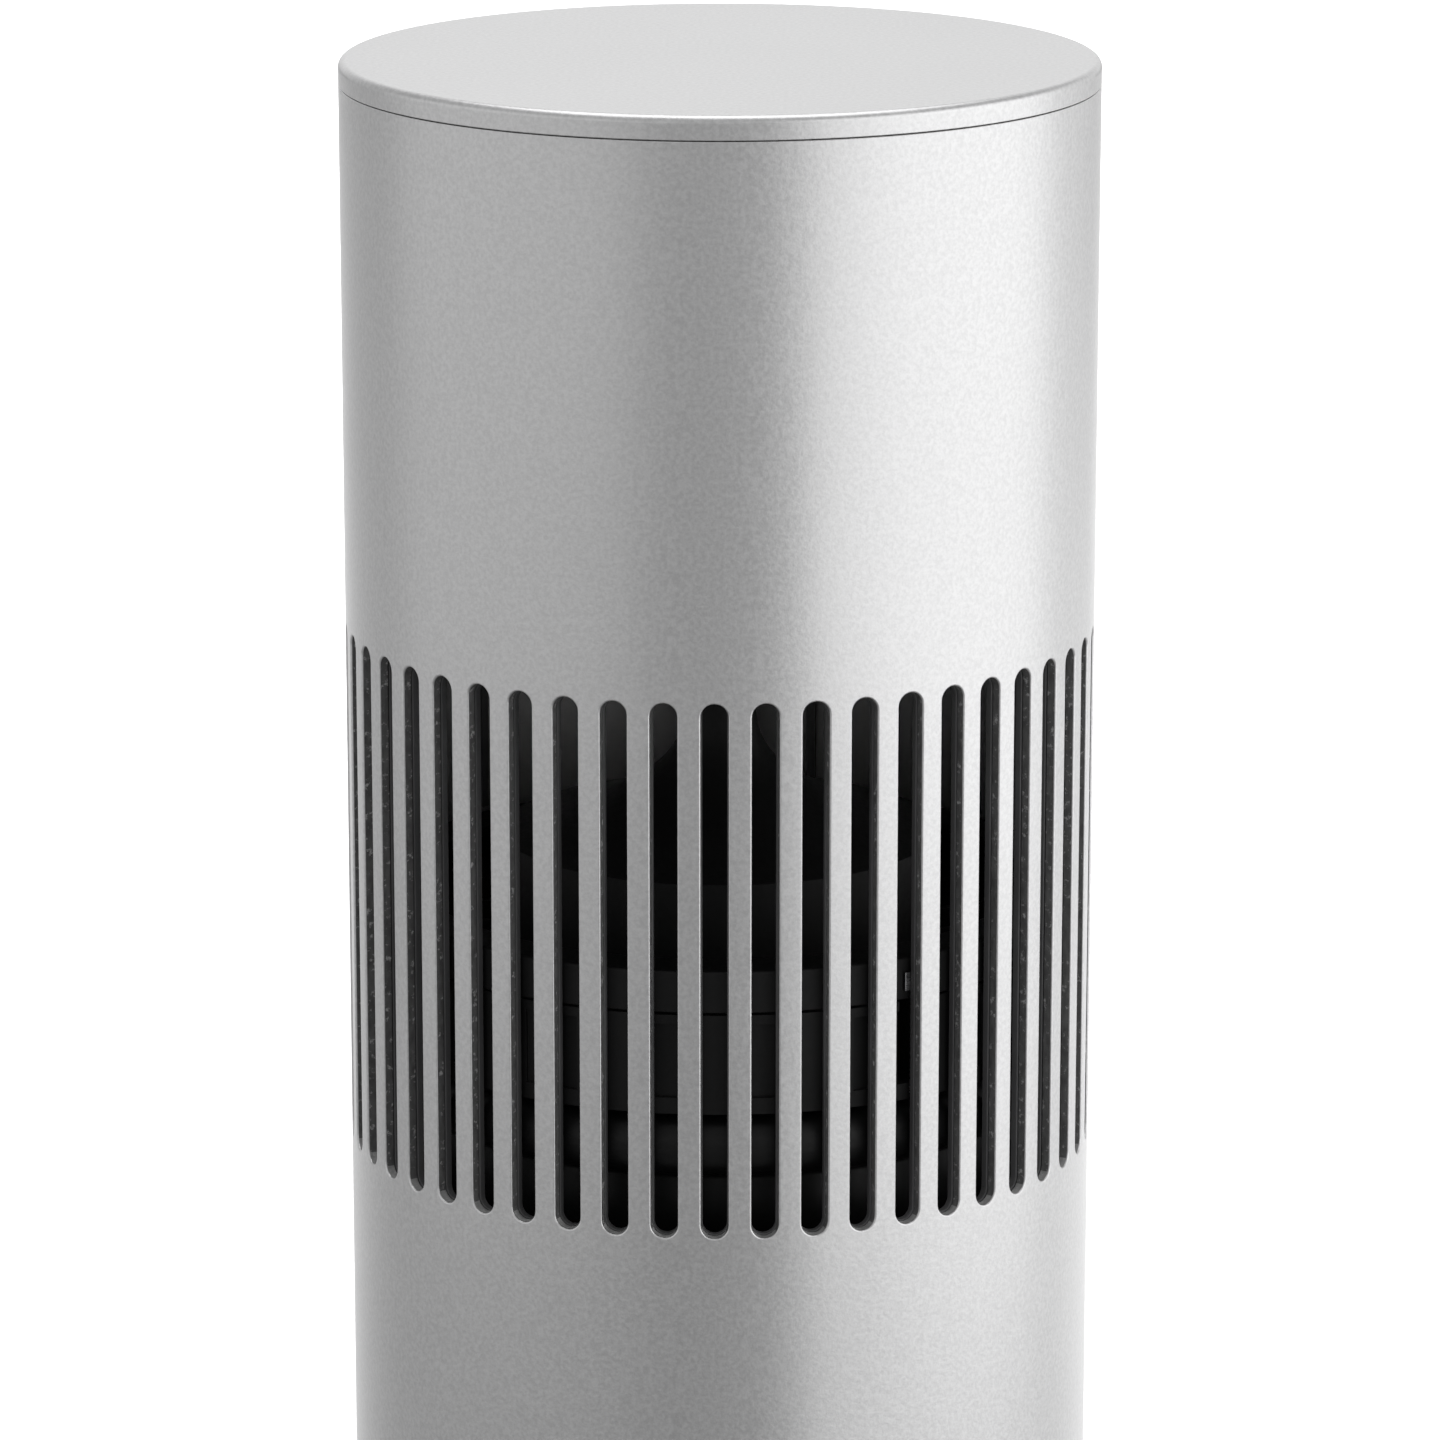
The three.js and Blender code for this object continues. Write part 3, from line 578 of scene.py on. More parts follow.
def wall_place(turn, radius, across, height):
    """A point beside a slot's middle line, on a cylinder of the given radius."""
    out = math.sqrt(radius * radius - across * across)
    return (
        out * math.sin(turn) + across * math.cos(turn),
        out * math.cos(turn) - across * math.sin(turn),
        height,
    )


def radial(place, sign=1):
    flat = math.hypot(place[0], place[1])
    return (sign * place[0] / flat, sign * place[1] / flat, 0)


def slotted_band(skin, wall, rows, half, edge, reach, wall_finish=0, back_finish=0):
    """A ring with slots through it, each with a rounded outer edge, and plain wall where there is no slot.
    wall is (outer, inner), and rows is (low, high, the slots' numbers).
    Returns the heights where its tiles start and stop."""
    outer, inner = wall
    low, high, slots = rows
    angles, corner = end_angles(reach)
    ends = [(high - SLOT_HALF, 1), (low + SLOT_HALF, -1)]
    for k in slots:
        turn = k * SLOT_PITCH
        outline = []
        for centre, mirror in ends:
            for a in angles:
                spin, rise = tile_edge(a, corner, reach)
                way = (mirror * math.cos(a), mirror * math.sin(a))
                outline.append((centre, way, turn + mirror * spin, centre + mirror * rise))
        for pair in zip(outline, outline[1:] + outline[:1]):
            slot_strip(skin, turn, pair, outer, inner, half, edge, wall_finish)

    def on_slot(a, b):
        return round((a + (b - a) % TURN / 2) / SLOT_PITCH) % SLOT_COUNT in slots

    plain_band(skin, outer, inner, low - reach, high + reach, ring_angles(reach), on_slot, back_finish)
    return low - reach, high + reach


def slot_strip(skin, turn, pair, outer, inner, half, edge, wall_finish):
    """The faces between two neighbouring directions round one slot.
    They are the outer skin, the rounded edge, the wall and the inner skin."""
    fillet_steps = 3

    def rim(entry, radius, grow):
        centre, way, _, _ = entry
        return wall_place(turn, radius, way[0] * (half + grow), centre + way[1] * (half + grow))

    def border(entry, radius):
        return (radius * math.sin(entry[2]), radius * math.cos(entry[2]), entry[3])

    def inward(entry):
        way = entry[1]
        return (-way[0] * math.cos(turn), way[0] * math.sin(turn), -way[1])

    first, second = pair
    skin.face([(p, radial(p)) for p in (
        rim(first, outer, edge), rim(second, outer, edge), border(second, outer), border(first, outer))])
    steps = []
    for j in range(fillet_steps + 1):
        lean = math.pi / 2 * j / fillet_steps
        grow, depth = edge * (1 - math.sin(lean)), edge * (1 - math.cos(lean))
        row = []
        for entry in pair:
            place = rim(entry, outer - depth, grow)
            out, side = radial(place), inward(entry)
            normal = tuple(o * math.cos(lean) + s * math.sin(lean) for o, s in zip(out, side))
            row.append((place, normal))
        steps.append(row)
    for above, below in zip(steps, steps[1:]):
        skin.face([above[0], above[1], below[1], below[0]])
    # On the tube the wall takes the darker slot metal as painted shade, and the sill at a slot's lower end
    # takes the paler one as painted light.
    skin.face([
        (rim(first, outer - edge, 0), inward(first)), (rim(second, outer - edge, 0), inward(second)),
        (rim(second, inner, 0), inward(second)), (rim(first, inner, 0), inward(first)),
    ], wall_finish * (1 if first[1][1] > SILL_WAY else 2))
    skin.face([(p, radial(p, -1)) for p in (
        rim(first, inner, 0), rim(second, inner, 0), border(second, inner), border(first, inner))])


def plain_band(skin, outer, inner, low, high, angles, skip=None, inside_finish=0):
    """The wall between two heights, outside and inside. skip leaves out a stretch of turns."""
    for i, a in enumerate(angles):
        b = angles[(i + 1) % len(angles)]
        if skip and skip(a, b):
            continue
        for radius, sign in ((outer, 1), (inner, -1)):
            corners = []
            for turn, z in ((a, low), (b, low), (b, high), (a, high)):
                place = (radius * math.sin(turn), radius * math.cos(turn), z)
                corners.append((place, radial(place, sign)))
            skin.face(corners, inside_finish if sign < 0 else 0)


OPENING_HALF_TURN = 3 * SLOT_PITCH
OPENING_LOW = 29 * MM
OPENING_HIGH = 59 * MM
OPENING_CORNER = 4 * MM


def wrapped(turn):
    """A turn between minus half a circle and plus half a circle."""
    return (turn + math.pi) % TURN - math.pi


def in_opening(a, b):
    limit = OPENING_HALF_TURN + TURN_SLACK
    return abs(wrapped(a)) <= limit and abs(wrapped(b)) <= limit


def opening_drop(turn):
    """How far the opening's edge draws in from its full height at this turn, for its round corners."""
    side = RADIUS * (OPENING_HALF_TURN - abs(turn))
    if side >= OPENING_CORNER:
        return 0.0
    inside = OPENING_CORNER - max(side, 0.0)
    return OPENING_CORNER - math.sqrt(max(OPENING_CORNER ** 2 - inside ** 2, 0.0))


def opening_band(skin, low, high):
    """The wall round the rear opening, with a rounded edge towards the outside."""
    turns = sorted(wrapped(a) for a in RING if abs(wrapped(a)) <= OPENING_HALF_TURN + TURN_SLACK)
    for a, b in zip(turns, turns[1:]):
        for radius, sign in ((RADIUS, 1), (TUBE_INNER, -1)):
            for bottom, top in (
                ((low, low), (OPENING_LOW + opening_drop(a), OPENING_LOW + opening_drop(b))),
                ((OPENING_HIGH - opening_drop(a), OPENING_HIGH - opening_drop(b)), (high, high)),
            ):
                corners = []
                for turn, z in ((a, bottom[0]), (b, bottom[1]), (b, top[1]), (a, top[0])):
                    place = (radius * math.sin(turn), radius * math.cos(turn), z)
                    corners.append((place, radial(place, sign)))
                skin.face(corners)
    loop = [(t, OPENING_HIGH - opening_drop(t)) for t in turns]
    loop += [(t, OPENING_LOW + opening_drop(t)) for t in reversed(turns)]
    opening_edge(skin, loop)


def opening_edge(skin, loop):
    """The cut wall of the rear opening and its rounded outer edge. loop holds (turn, height) pairs."""
    edge = 0.4 * MM
    count = len(loop)
    ways = []
    for i in range(count):
        (ta, za), (tb, zb) = loop[i - 1], loop[(i + 1) % count]
        along = Vector((RADIUS * (tb - ta), zb - za)).normalized()
        ways.append(Vector((along.y, -along.x)))
    for i in range(count):
        j = (i + 1) % count
        rows = []
        for radius, draw, lean in (
            (RADIUS, 0.0, 0.0), (RADIUS - 0.12 * MM, 0.2 * MM, 0.8), (RADIUS - edge, edge, math.pi / 2),
            (TUBE_INNER, 0.0, math.pi / 2),
        ):
            row = []
            for k in (i, j):
                turn = loop[k][0] + ways[k].x * draw / RADIUS
                place = (radius * math.sin(turn), radius * math.cos(turn), loop[k][1] + ways[k].y * draw)
                out = radial(place)
                side = (ways[k].x * math.cos(turn), -ways[k].x * math.sin(turn), ways[k].y)
                normal = tuple(o * math.cos(lean) + s * math.sin(lean) for o, s in zip(out, side))
                row.append((place, normal))
            rows.append(row)
        for above, below in zip(rows, rows[1:]):
            skin.face([above[0], above[1], below[1], below[0]])


def wall_end(skin, outer, inner, z, at_top, outer_fillet, inner_fillet):
    """Closes a wall at its top or bottom end. Returns the height where the plain wall begins."""
    deep = max(outer_fillet, inner_fillet) + 0.2 * MM
    if at_top:
        plain = z - deep
        corners = [(outer, plain, 0), (outer, z, outer_fillet), (inner, z, inner_fillet), (inner, plain, 0)]
    else:
        plain = z + deep
        corners = [(inner, plain, 0), (inner, z, inner_fillet), (outer, z, outer_fillet), (outer, plain, 0)]
    revolve(skin, rounded(corners, closed=False, steps=4), RING)
    return plain


def build_tube():
    """The one-piece tube, with both rows of slots and the opening at the rear."""
    skin = Skin()
    edge = 0.42 * MM
    bottom = wall_end(skin, RADIUS, TUBE_INNER, TUBE_LOW, False, 0.5 * MM, 0.3 * MM)
    top = wall_end(skin, RADIUS, TUBE_INNER, TUBE_HIGH, True, 0.25 * MM, 0.3 * MM)
    wall = (RADIUS, TUBE_INNER)
    intake_row = (*slot_levels("intake_liner"), INTAKE_SLOTS)
    outlet_row = (*slot_levels("outlet_liner"), OUTLET_SLOTS)
    intake = slotted_band(skin, wall, intake_row, SLOT_HALF, edge, TUBE_REACH, wall_finish=1)
    outlet = slotted_band(skin, wall, outlet_row, SLOT_HALF, edge, TUBE_REACH, wall_finish=1)
    plain_band(skin, *wall, bottom, intake[0], RING, in_opening)
    opening_band(skin, bottom, intake[0])
    plain_band(skin, *wall, intake[1], outlet[0], RING)
    plain_band(skin, *wall, outlet[1], top, RING)
    finish_piece(skin.make("tube_shell"), "outer_tube", [ALUMINIUM, SLOT_WALL_PAINTED_SHADE, SLOT_SILL_PAINTED_LIGHT])


def slot_levels(liner):
    """The heights of the lower and upper ends of the slots that a liner stands behind."""
    low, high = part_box(liner)
    return low.z + LINER_MARGIN, high.z - LINER_MARGIN


def build_liner(node, slots):
    """The dark sleeve behind a ring of slots. Its own slots are a little narrower, so that a ledge shows."""
    skin = Skin()
    wall = (LINER_OUTER, LINER_INNER)
    lip = 0.5 * MM
    reach = LINER_MARGIN - lip
    half = SLOT_HALF - SLOT_LEDGE
    row = (*slot_levels(node), slots)
    bottom, top = slotted_band(skin, wall, row, half, 0.15 * MM, reach, back_finish=1)
    angles = ring_angles(reach)
    over = [
        (LINER_OUTER, top, 0), (LINER_OUTER, top + lip, 0),
        (LINER_INNER, top + lip, 0), (LINER_INNER, top, 0),
    ]
    under = [(r, bottom + top - z, fillet) for r, z, fillet in reversed(over)]
    for corners in (over, under):
        revolve(skin, rounded(corners, closed=False), angles)
    if node == "outlet_liner":
        ribs(skin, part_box("outlet_flange")[1].z + MM, slot_levels(node)[1])
    finish_piece(skin.make(node + "_fine"), node, [LINER, INSIDE_METAL])


def ribs(skin, low, high):
    """Upright ribs on the closed back of the outlet liner."""
    half = MM
    inner = LINER_INNER - 1.2 * MM
    outer = LINER_INNER + 0.2 * MM
    for step in (-4, -3, -2, -1, 1, 2, 3, 4):
        turn = step * 2 * SLOT_PITCH
        side, out = (math.cos(turn), -math.sin(turn)), (math.sin(turn), math.cos(turn))

        def place(across, radius, z):
            return (side[0] * across + out[0] * radius, side[1] * across + out[1] * radius, z)

        for sign in (-1, 1):
            normal = (sign * side[0], sign * side[1], 0)
            outline = ((inner, low), (outer, low), (outer, high), (inner, high))
            flank = [place(sign * half, r, z) for r, z in outline]
            skin.face([(p, normal) for p in flank])
            z = high if sign > 0 else low
            cap = [place(a, r, z) for a, r in ((-half, inner), (half, inner), (half, outer), (-half, outer))]
            skin.face([(p, (0, 0, sign)) for p in cap])
        front = [place(a, inner, z) for a, z in ((-half, low), (half, low), (half, high), (-half, high))]
        skin.face([(p, (-out[0], -out[1], 0)) for p in front])


# ---------- Cap and base ----------

def build_cap():
    """The flat cap, with a skirt that reaches down inside the tube."""
    low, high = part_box("top_cap")
    skirt_outer = INSIDE_FIT
    skirt_inner = 74.8 * MM
    seam = 0.16 * MM
    under = TUBE_HIGH + seam
    corners = [
        (0, under, 0), (skirt_inner, under, 0), (skirt_inner, low.z, 0), (skirt_outer, low.z, 0),
        (skirt_outer, under, 0), (RADIUS, under, 0.2 * MM), (RADIUS, high.z, 1.6 * MM),
        (RADIUS - 6 * MM, high.z, 0), (0, high.z, 0),
    ]
    skin = Skin()
    revolve(skin, rounded(corners, closed=False, steps=10), evenly(320))
    finish_piece(skin.make("cap_shell"), "top_cap", [ALUMINIUM])


SCREWS = [f"collar_screw_{i}" for i in (1, 2, 3)]


def middle_of(node):
    low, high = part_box(node)
    return (low.x + high.x) / 2, (low.y + high.y) / 2


def build_base():
    """The round plate, with a counterbore for each screw in its flat underside."""
    low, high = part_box("base_plate")
    skin = Skin()
    under_edge = high.x - 3 * MM
    corners = [
        (under_edge, low.z, 0), (high.x, low.z, 0.8 * MM), (high.x, high.z, 3 * MM),
        (RADIUS + 6 * MM, high.z, 0), (0, high.z, 0),
    ]
    angles = evenly(320)
    revolve(skin, rounded(corners, closed=False, steps=8), angles)
    shank = 3 * MM
    head = 5.5 * MM
    head_seat = 8 * MM
    mouth = 6.2 * MM
    round_mouth = list(reversed(evenly(40)))
    outlines = [[(under_edge * math.sin(a), under_edge * math.cos(a), low.z) for a in angles]]
    for name in SCREWS:
        x, y = middle_of(name)
        bore = [
            (shank, high.z, 0), (shank, head_seat, 0), (head, head_seat, 0.2 * MM),
            (head, low.z, 0.4 * MM), (mouth, low.z, 0),
        ]
        revolve(skin, rounded(bore, closed=False), evenly(40), (x, y))
        outlines.append([(x + mouth * math.sin(a), y + mouth * math.cos(a), low.z) for a in round_mouth])
    points = [p for outline in outlines for p in outline]
    for triangle in tessellate_polygon(outlines):
        skin.face([(points[k], (0, 0, -1)) for k in triangle])
    finish_piece(skin.make("base_plate_fine"), "base_plate", [POWDER])
    for i in range(1, 5):
        foot_low, foot_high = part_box(f"foot_{i}")
        wide = (foot_high.x - foot_low.x) / 2
        profile = [(0, 0, 0), (wide, 0, 0.8 * MM), (wide, foot_high.z, 0.2 * MM), (0, foot_high.z, 0)]
        turned_piece(f"foot_{i}", [(profile, False)], RUBBER, 48, middle_of(f"foot_{i}"))


# ---------- Screws and round parts ----------

def screw(node, head, head_deep, socket, shank):
    """A cap screw that points up: a socket in its head, and a shank. Lengths are in metres."""
    low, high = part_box(node)
    socket_top = low.z + head_deep * 0.55
    corners = [
        (0, socket_top, 0), (socket, socket_top, 0), (socket, low.z, 0.15 * MM),
        (head, low.z, 0.5 * MM), (head, low.z + head_deep, 0.1 * MM), (shank, low.z + head_deep, 0),
        (shank, high.z, 0.4 * MM), (0, high.z, 0),
    ]
    turned_piece(node, [(corners, False)], STEEL, 40, middle_of(node))


def closed_ring(node, inner, outer, fillet, segments=96):
    """A plain ring between its node's levels."""
    low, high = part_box(node)
    corners = [
        (inner, low.z, fillet), (outer, low.z, fillet), (outer, high.z, fillet), (inner, high.z, fillet),
    ]
    turned_piece(node, [(corners, True)], MATERIAL_OF_SLOT[SLOT_OF[node]], segments)


def plain_rod(node, fillet):
    """A plain upright rod between its node's levels."""
    low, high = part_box(node)
    wide = max(high.x - low.x, high.y - low.y) / 2
    corners = [(0, low.z, 0), (wide, low.z, fillet), (wide, high.z, fillet), (0, high.z, 0)]
    material = MATERIAL_OF_SLOT[SLOT_OF[node]]
    turned_piece(node, [(corners, False)], material, 48, middle_of(node))


# ---------- Air path ----------

NOTCH_HALF_WIDTH = 5.5 * MM
NOTCH_DEPTH = 67.9 * MM


def notched_piece(node, corners, notch_low, material):
    """A turned ring with a gap at the rear for the wire conduit, in the part above notch_low."""
    skin = Skin()
    half = math.asin(NOTCH_HALF_WIDTH / NOTCH_DEPTH)
    runs = rounded(corners)
    revolve_part(skin, runs, half, TURN - half, 150)
    clear = NOTCH_DEPTH + JOIN_DISTANCE
    inside = [run for run in runs if all(r <= clear or z < notch_low for r, z, _, _ in run)]
    revolve_part(skin, inside, -half, half, 6)
    cut_face(skin, runs, half, -1)
    cut_face(skin, runs, TURN - half, 1)
    return finish_piece(skin.make(node + "_fine"), node, [material])


def build_shroud():
    low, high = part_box("impeller_shroud")
    bore = DUCT_RADIUS
    seat = DUCT_SEAT
    outer = seat + 2 * MM
    lip = high.x
    lip_low = high.z - 14.4 * MM
    lip_round = 6.8 * MM
    step = low.z + 10 * MM
    notch_low = high.z - 20 * MM
    notched_piece("impeller_shroud", [
        (seat, low.z, 0.3 * MM), (outer, low.z, 0.5 * MM), (outer, lip_low, 1.5 * MM),
        (lip, lip_low, lip_round), (lip, high.z, lip_round), (bore, high.z, 1.5 * MM),
        (bore, step, 0), (seat, step, 0),
    ], notch_low, SATIN)


def build_flange():
    low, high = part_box("outlet_flange")
    outer = high.x
    mouth = outer - 10.2 * MM
    skirt = outer - 2.2 * MM
    plate_low = high.z - 2 * MM
    notched_piece("outlet_flange", [
        (mouth, plate_low, 0.5 * MM), (skirt, plate_low, 0), (skirt, low.z, 0.2 * MM),
        (outer, low.z, 0.3 * MM), (outer, high.z, 0.6 * MM), (mouth, high.z, 0.5 * MM),
    ], 0, BLACK)


def build_bell():
    low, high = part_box("inlet_bell")
    bore = DUCT_RADIUS
    seat = DUCT_SEAT
    outer = seat + 2.1 * MM
    mouth = INSIDE_FIT
    plate_top = low.z + 3 * MM
    step = low.z + 22 * MM
    notched_piece("inlet_bell", [
        (bore, step, 0), (bore, low.z, 12.5 * MM), (mouth, low.z, 0.4 * MM),
        (mouth, plate_top, 0.4 * MM), (outer, plate_top, 8 * MM), (outer, high.z, 0.4 * MM),
        (seat, high.z, 0.3 * MM), (seat, step, 0),
    ], 0, DARK)


def build_trumpet():
    """The trumpet over the motor, with its stem up to the outlet deck."""
    low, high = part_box("tail_cone")
    foot = 47 * MM
    stem = 7.5 * MM
    brim = low.z + 20 * MM
    stem_low = low.z + 52 * MM
    wall = 2.2 * MM
    hollow = 3.2
    steps = 32

    def flare(inset):
        places = []
        for i in range(steps + 1):
            rise = 1 - math.sqrt(1 - i / steps)
            r = stem - inset + (foot - stem) * (1 - rise) ** hollow
            places.append((r, brim - inset + (stem_low - brim) * rise))
        return places

    skin = Skin()
    outside = flare(0)
    inside = list(reversed(flare(wall)))
    brim_run = [(foot - wall, low.z, 0), (foot, low.z, 0), (*outside[0], 0)]
    stem_run = [
        (*outside[-1], 0), (stem, high.z, 0.4 * MM), (stem - wall, high.z, 0.3 * MM), (*inside[0], 0),
    ]
    foot_run = [(*inside[-1], 0), (foot - wall, low.z, 0)]
    runs = [
        *rounded(brim_run, closed=False),
        smooth_run(outside),
        *rounded(stem_run, closed=False),
        smooth_run(inside),
        *rounded(foot_run, closed=False),
    ]
    revolve(skin, runs, evenly(120))
    finish_piece(skin.make("tail_cone_fine"), "tail_cone", [BLACK])


def build_deck(node, lip_height):
    """A round plate with a lip. The outlet deck also has four props for the control board."""
    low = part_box(node)[0]
    rim = INSIDE_FIT
    bore = 6 * MM
    lip_inner = rim - 2 * MM
    top = low.z + 3 * MM
    lip_top = top + lip_height
    skin = Skin()
    plate = [
        (bore, low.z, 0.4 * MM), (rim, low.z, 0.5 * MM), (rim, lip_top, 0.5 * MM),
        (lip_inner, lip_top, 0.5 * MM), (lip_inner, top, 0.8 * MM), (bore, top, 0.4 * MM),
    ]
    revolve(skin, rounded(plate), evenly(160))
    if node == "outlet_deck":
        prop_top = top + 6 * MM
        prop_radius = 2.6 * MM
        prop = [
            (4 * MM, top, 0), (prop_radius, top, 0.8 * MM),
            (prop_radius, prop_top, 0.4 * MM), (0, prop_top, 0),
        ]
        for x in (-38 * MM, 38 * MM):
            for y in (-24 * MM, 24 * MM):
                revolve(skin, rounded(prop, closed=False), evenly(24), (x, y))
    finish_piece(skin.make(node + "_fine"), node, [DARK])


def build_intake_floor():
    """The floor under the intake, raised in the middle to turn the air upwards."""
    low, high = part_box("intake_floor")
    peak = high.z
    peak_under = peak - 2.4 * MM
    floor = low.z
    floor_top = floor + 3 * MM
    rim = INSIDE_FIT
    outside = [
        (0, peak_under, 0), (14 * MM, peak_under, 8 * MM), (46 * MM, floor, 14 * MM), (rim, floor, 0.4 * MM),
        (rim, floor_top, 0.5 * MM), (50 * MM, floor_top, 12 * MM), (15 * MM, peak, 10 * MM), (0, peak, 0),
    ]
    skin = Skin()
    revolve(skin, rounded(outside, closed=False), evenly(120))
    finish_piece(skin.make("intake_floor_fine"), "intake_floor", [DARK])


def build_round_parts():
    for name in SCREWS:
        screw(name, head=5 * MM, head_deep=3.5 * MM, socket=2.2 * MM, shank=2.4 * MM)
    for i in (1, 2, 3):
        screw(f"cap_screw_{i}", head=2.8 * MM, head_deep=2.4 * MM, socket=1.2 * MM, shank=1.5 * MM)
    closed_ring("air_duct", DUCT_RADIUS, DUCT_RADIUS + 2.2 * MM, 0.3 * MM)
    closed_ring("glide_ring", 68 * MM, INSIDE_FIT - 2.4 * MM, 0.8 * MM)
    closed_ring("motor_board", 11.5 * MM, 30 * MM, 0.1 * MM)
    for node in ("bearing_lower", "bearing_upper"):
        closed_ring(node, 3.3 * MM, 7.5 * MM, 0.4 * MM, segments=48)
    for node in ("motor_shaft", "dial_shaft", "bulk_capacitor"):
        plain_rod(node, 0.5 * MM)
    for i in range(1, 5):
        plain_rod(f"deck_pillar_{i}", 0.3 * MM)


# The width of the rounded edges on the softened copies, in millimetres.
SOFT_EDGES = {
    "vane_ring": 0.25, "column_collar": 0.4, "rear_panel": 0.5, "mains_inlet": 0.4, "rocker_frame": 0.35,
    "mains_rocker": 0.45, "inlet_pin_1": 0.25, "inlet_pin_2": 0.25, "rocker_pin": 0.1, "intake_filter": 0.25,
    "flange_clip_1": 0.12, "flange_clip_2": 0.12, "flange_clip_3": 0.12, "flange_clip_4": 0.12,
    "wire_conduit": 0.3, "cap_hub": 0.4, "impeller": 0.3, "impeller_nut": 0.3, "rotor_can": 0.4,
    "motor_mount": 0.3, "motor_stator": 0.2, "dial_encoder": 0.3, "transformer": 0.4, "supply_board": 0.1,
    "control_board": 0.1,
}


# ---------- Stage ----------

CAMERA_DISTANCE = 17.567 * RADIUS
CAMERA_HEIGHT = cad_high.z + 2.633 * RADIUS
CAMERA_TURN = math.radians(0.8)
CAMERA_PITCH = math.radians(14.14)
LENS = 168.75
SENSOR = 36.0


def build_camera():
    data = bpy.data.cameras.new("camera")
    data.sensor_width = SENSOR
    data.lens = LENS
    data.clip_start = 0.05
    data.clip_end = 200
    camera = new_object("camera", data)
    camera.location = (
        CAMERA_DISTANCE * math.sin(CAMERA_TURN), -CAMERA_DISTANCE * math.cos(CAMERA_TURN), CAMERA_HEIGHT,
    )
    camera.rotation_euler = (math.pi / 2 - CAMERA_PITCH, 0, CAMERA_TURN)
    bpy.context.scene.camera = camera


# The floor's tones are painted light and shade: a grey near the fan, darker on the left, paler on the right
# where the key light stands, and pale far off.
FLOOR_LEFT_PAINTED_SHADE = grey(0.36)
FLOOR_RIGHT_PAINTED_LIGHT = grey(0.62)
FLOOR_FAR = grey(0.84)
FLOOR_NEAR_END = 1.2
FLOOR_FAR_START = 4.5
STUDIO_GREY = 0.495
STUDIO_PALE = 1.06

# A light whose receivers are this collection lights everything except the floor.
NOT_THE_FLOOR = bpy.data.collections.new("all_but_the_floor")


def build_floor():
    """A wide floor with painted light and shade. Near the fan it is a mid grey, darker towards -X and paler
    towards +X, on the key light's side, and far away it is pale.
    """
    mesh = bpy.data.meshes.new("studio_floor")
    reach = 60
    corners = [(-reach, -reach, 0), (reach, -reach, 0), (reach, reach, 0), (-reach, reach, 0)]
    mesh.from_pydata(corners, [], [(0, 1, 2, 3)])
    floor = new_object("studio_floor", mesh)
    paint = Paint("studio_floor", specular=0.1)
    distance = paint.nodes.new("ShaderNodeVectorMath")
    distance.operation = "LENGTH"
    paint.links.new(paint.where, distance.inputs[0])
    across = paint.nodes.new("ShaderNodeSeparateXYZ")
    paint.links.new(paint.where, across.inputs["Vector"])
    sideways = paint.spread(across.outputs["X"], 0, 1, -1.0, 1.0)
    near = paint.between(sideways, FLOOR_LEFT_PAINTED_SHADE, FLOOR_RIGHT_PAINTED_LIGHT)
    outwards = paint.spread(distance.outputs["Value"], 0, 0.97, FLOOR_NEAR_END, FLOOR_FAR_START)
    tone = paint.add(outwards, paint.spread(paint.noise(3), 0, 0.03))
    paint.set("Base Color", paint.between(tone, near, FLOOR_FAR))
    paint.shader.inputs["Roughness"].default_value = 0.9
    mesh.materials.append(paint.material)
    NOT_THE_FLOOR.objects.link(floor)
    NOT_THE_FLOOR.collection_objects[0].light_linking.link_state = "EXCLUDE"


def softbox(name, azimuth, distance, width, height, radiance):
    """An upright soft light that stands on the floor and faces the fan.
    It lights the fan and not the floor, so that the floor shows no edge where the light stands."""
    light = bpy.data.lights.new(name, "AREA")
    light.shape = "RECTANGLE"
    light.size = width
    light.size_y = height
    light.energy = radiance * math.pi * width * height
    lamp = new_object(name, light)
    lamp.location = around(azimuth, distance, height / 2)
    lamp.rotation_euler = (math.pi / 2, 0, math.radians(azimuth))
    lamp.visible_camera = False
    lamp.light_linking.receiver_collection = NOT_THE_FLOOR
    return lamp


def around(azimuth, distance, height):
    """A place round the fan: azimuth 0 is on the camera's side, and it grows towards the camera's right."""
    a = math.radians(azimuth)
    return (distance * math.sin(a), -distance * math.cos(a), height)


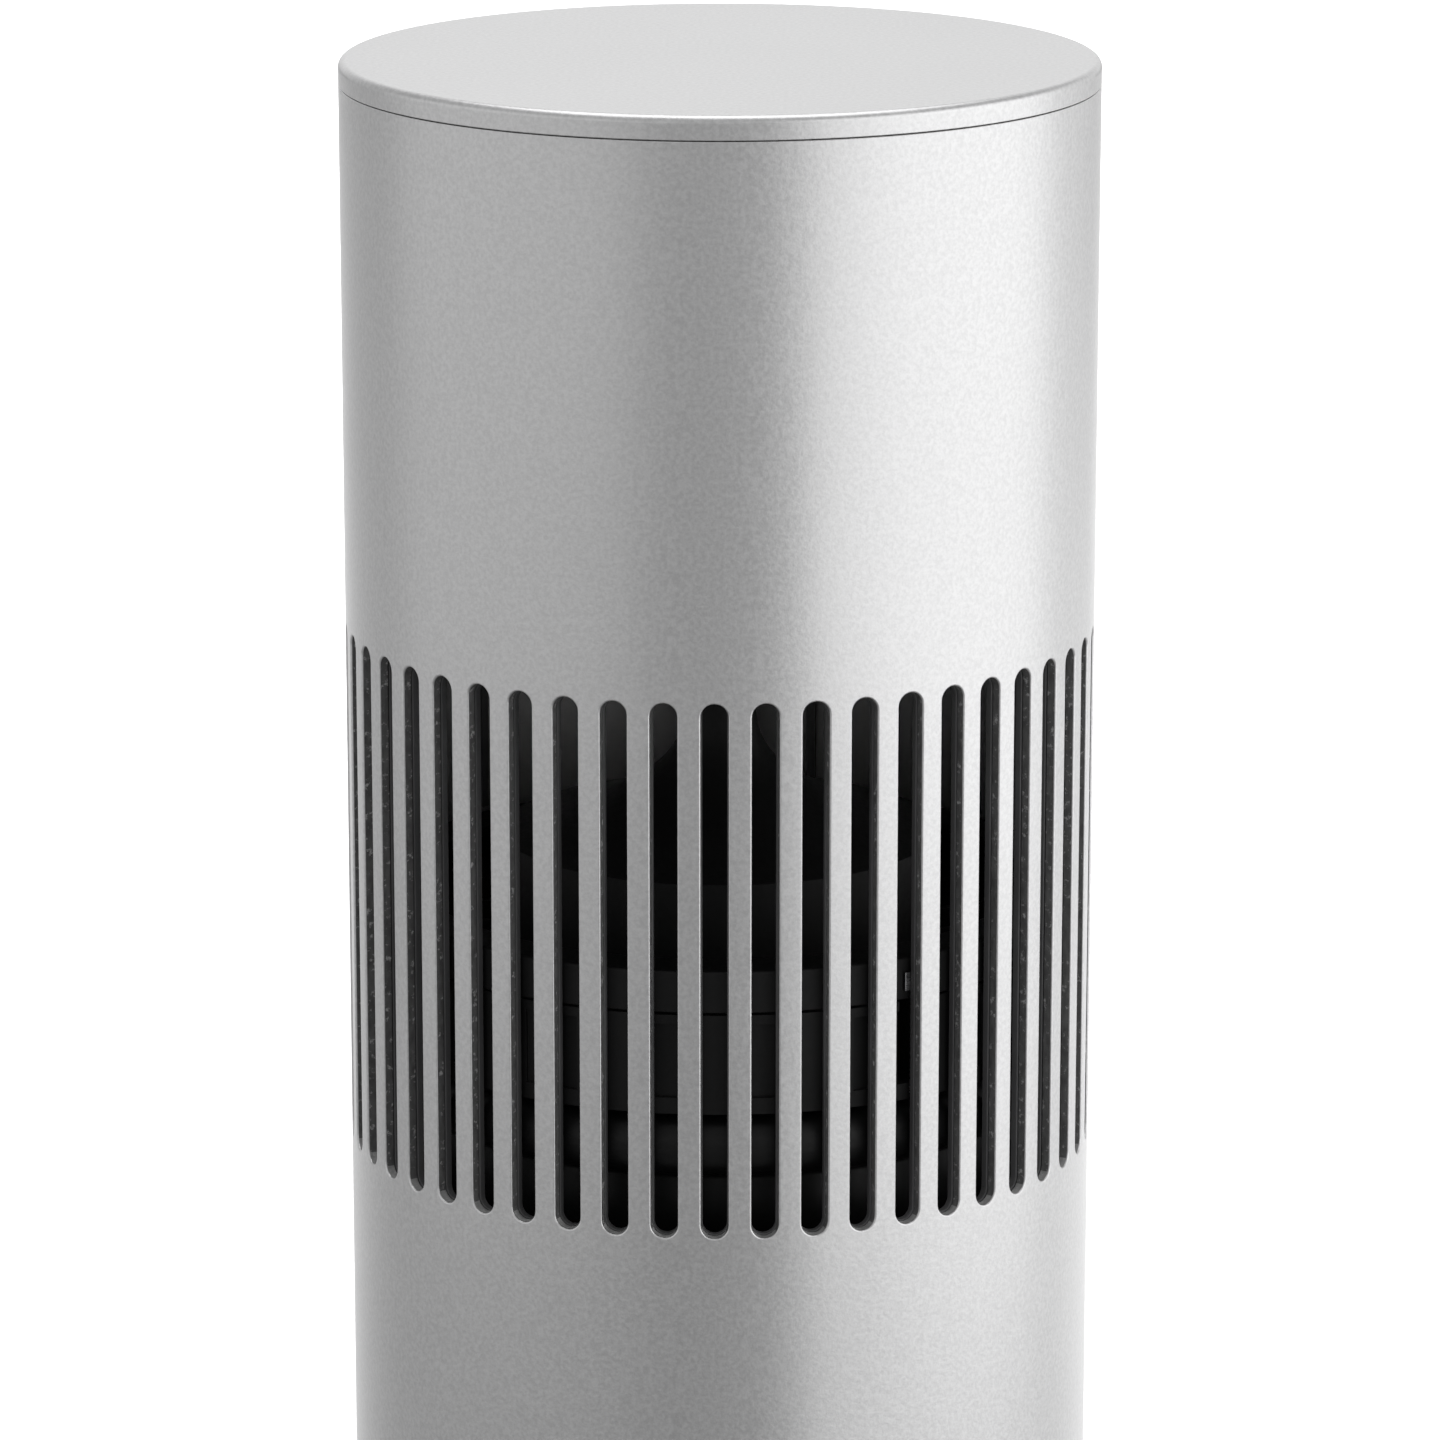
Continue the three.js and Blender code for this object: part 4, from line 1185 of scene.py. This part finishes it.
def build_world():
    """An even grey studio that is paler straight behind the fan."""
    world = bpy.data.worlds.new("studio")
    world.use_nodes = True
    tree = world.node_tree
    shade = tree.nodes["Background"]
    shade.inputs["Color"].default_value = (1, 1, 1, 1)
    coordinate = tree.nodes.new("ShaderNodeTexCoord")
    split = tree.nodes.new("ShaderNodeSeparateXYZ")
    tree.links.new(coordinate.outputs["Generated"], split.inputs["Vector"])
    ramp = tree.nodes.new("ShaderNodeMapRange")
    ramp.interpolation_type = "SMOOTHSTEP"
    ramp.inputs["From Min"].default_value = 0.7
    ramp.inputs["From Max"].default_value = 1.0
    ramp.inputs["To Min"].default_value = STUDIO_GREY
    ramp.inputs["To Max"].default_value = STUDIO_PALE
    tree.links.new(split.outputs["Y"], ramp.inputs["Value"])
    tree.links.new(ramp.outputs["Result"], shade.inputs["Strength"])
    bpy.context.scene.world = world


def build_lights():
    """Upright lights round the fan, one flat above it, and one flat above the floor behind it.
    The last also lights the floor, and it is left out of reflections."""
    softbox("right_key", azimuth=79, distance=1.6, width=2.25, height=1.8, radiance=1.02)
    softbox("right_edge", azimuth=34, distance=1.6, width=0.5, height=1.8, radiance=0.88)
    softbox("right_rear", azimuth=129, distance=1.8, width=0.9, height=1.8, radiance=0.36)
    softbox("left_fill", azimuth=-66, distance=1.8, width=3.4, height=1.8, radiance=0.25)
    top = softbox("overhead", azimuth=180, distance=0.5, width=1.6, height=1.6, radiance=1.5)
    top.location.z = 2.4
    top.rotation_euler = (0, 0, 0)
    back = softbox("back_floor", azimuth=180, distance=3.8, width=1.7, height=5.8, radiance=4.6)
    back.location.z = 1.3
    back.rotation_euler = (0, 0, 0)
    back.visible_glossy = False
    back.light_linking.receiver_collection = None


scene = bpy.context.scene
scene.view_settings.view_transform = "Standard"
build_camera()
build_floor()
build_world()
build_lights()
paint_cad_nodes()
build_tube()
build_liner("outlet_liner", OUTLET_SLOTS)
build_liner("intake_liner", INTAKE_SLOTS)
build_cap()
build_base()
build_shroud()
build_flange()
build_bell()
build_trumpet()
build_deck("outlet_deck", 8 * MM)
build_deck("dial_deck", 6 * MM)
build_intake_floor()
build_round_parts()
for name, width in SOFT_EDGES.items():
    soften(name, width * MM)
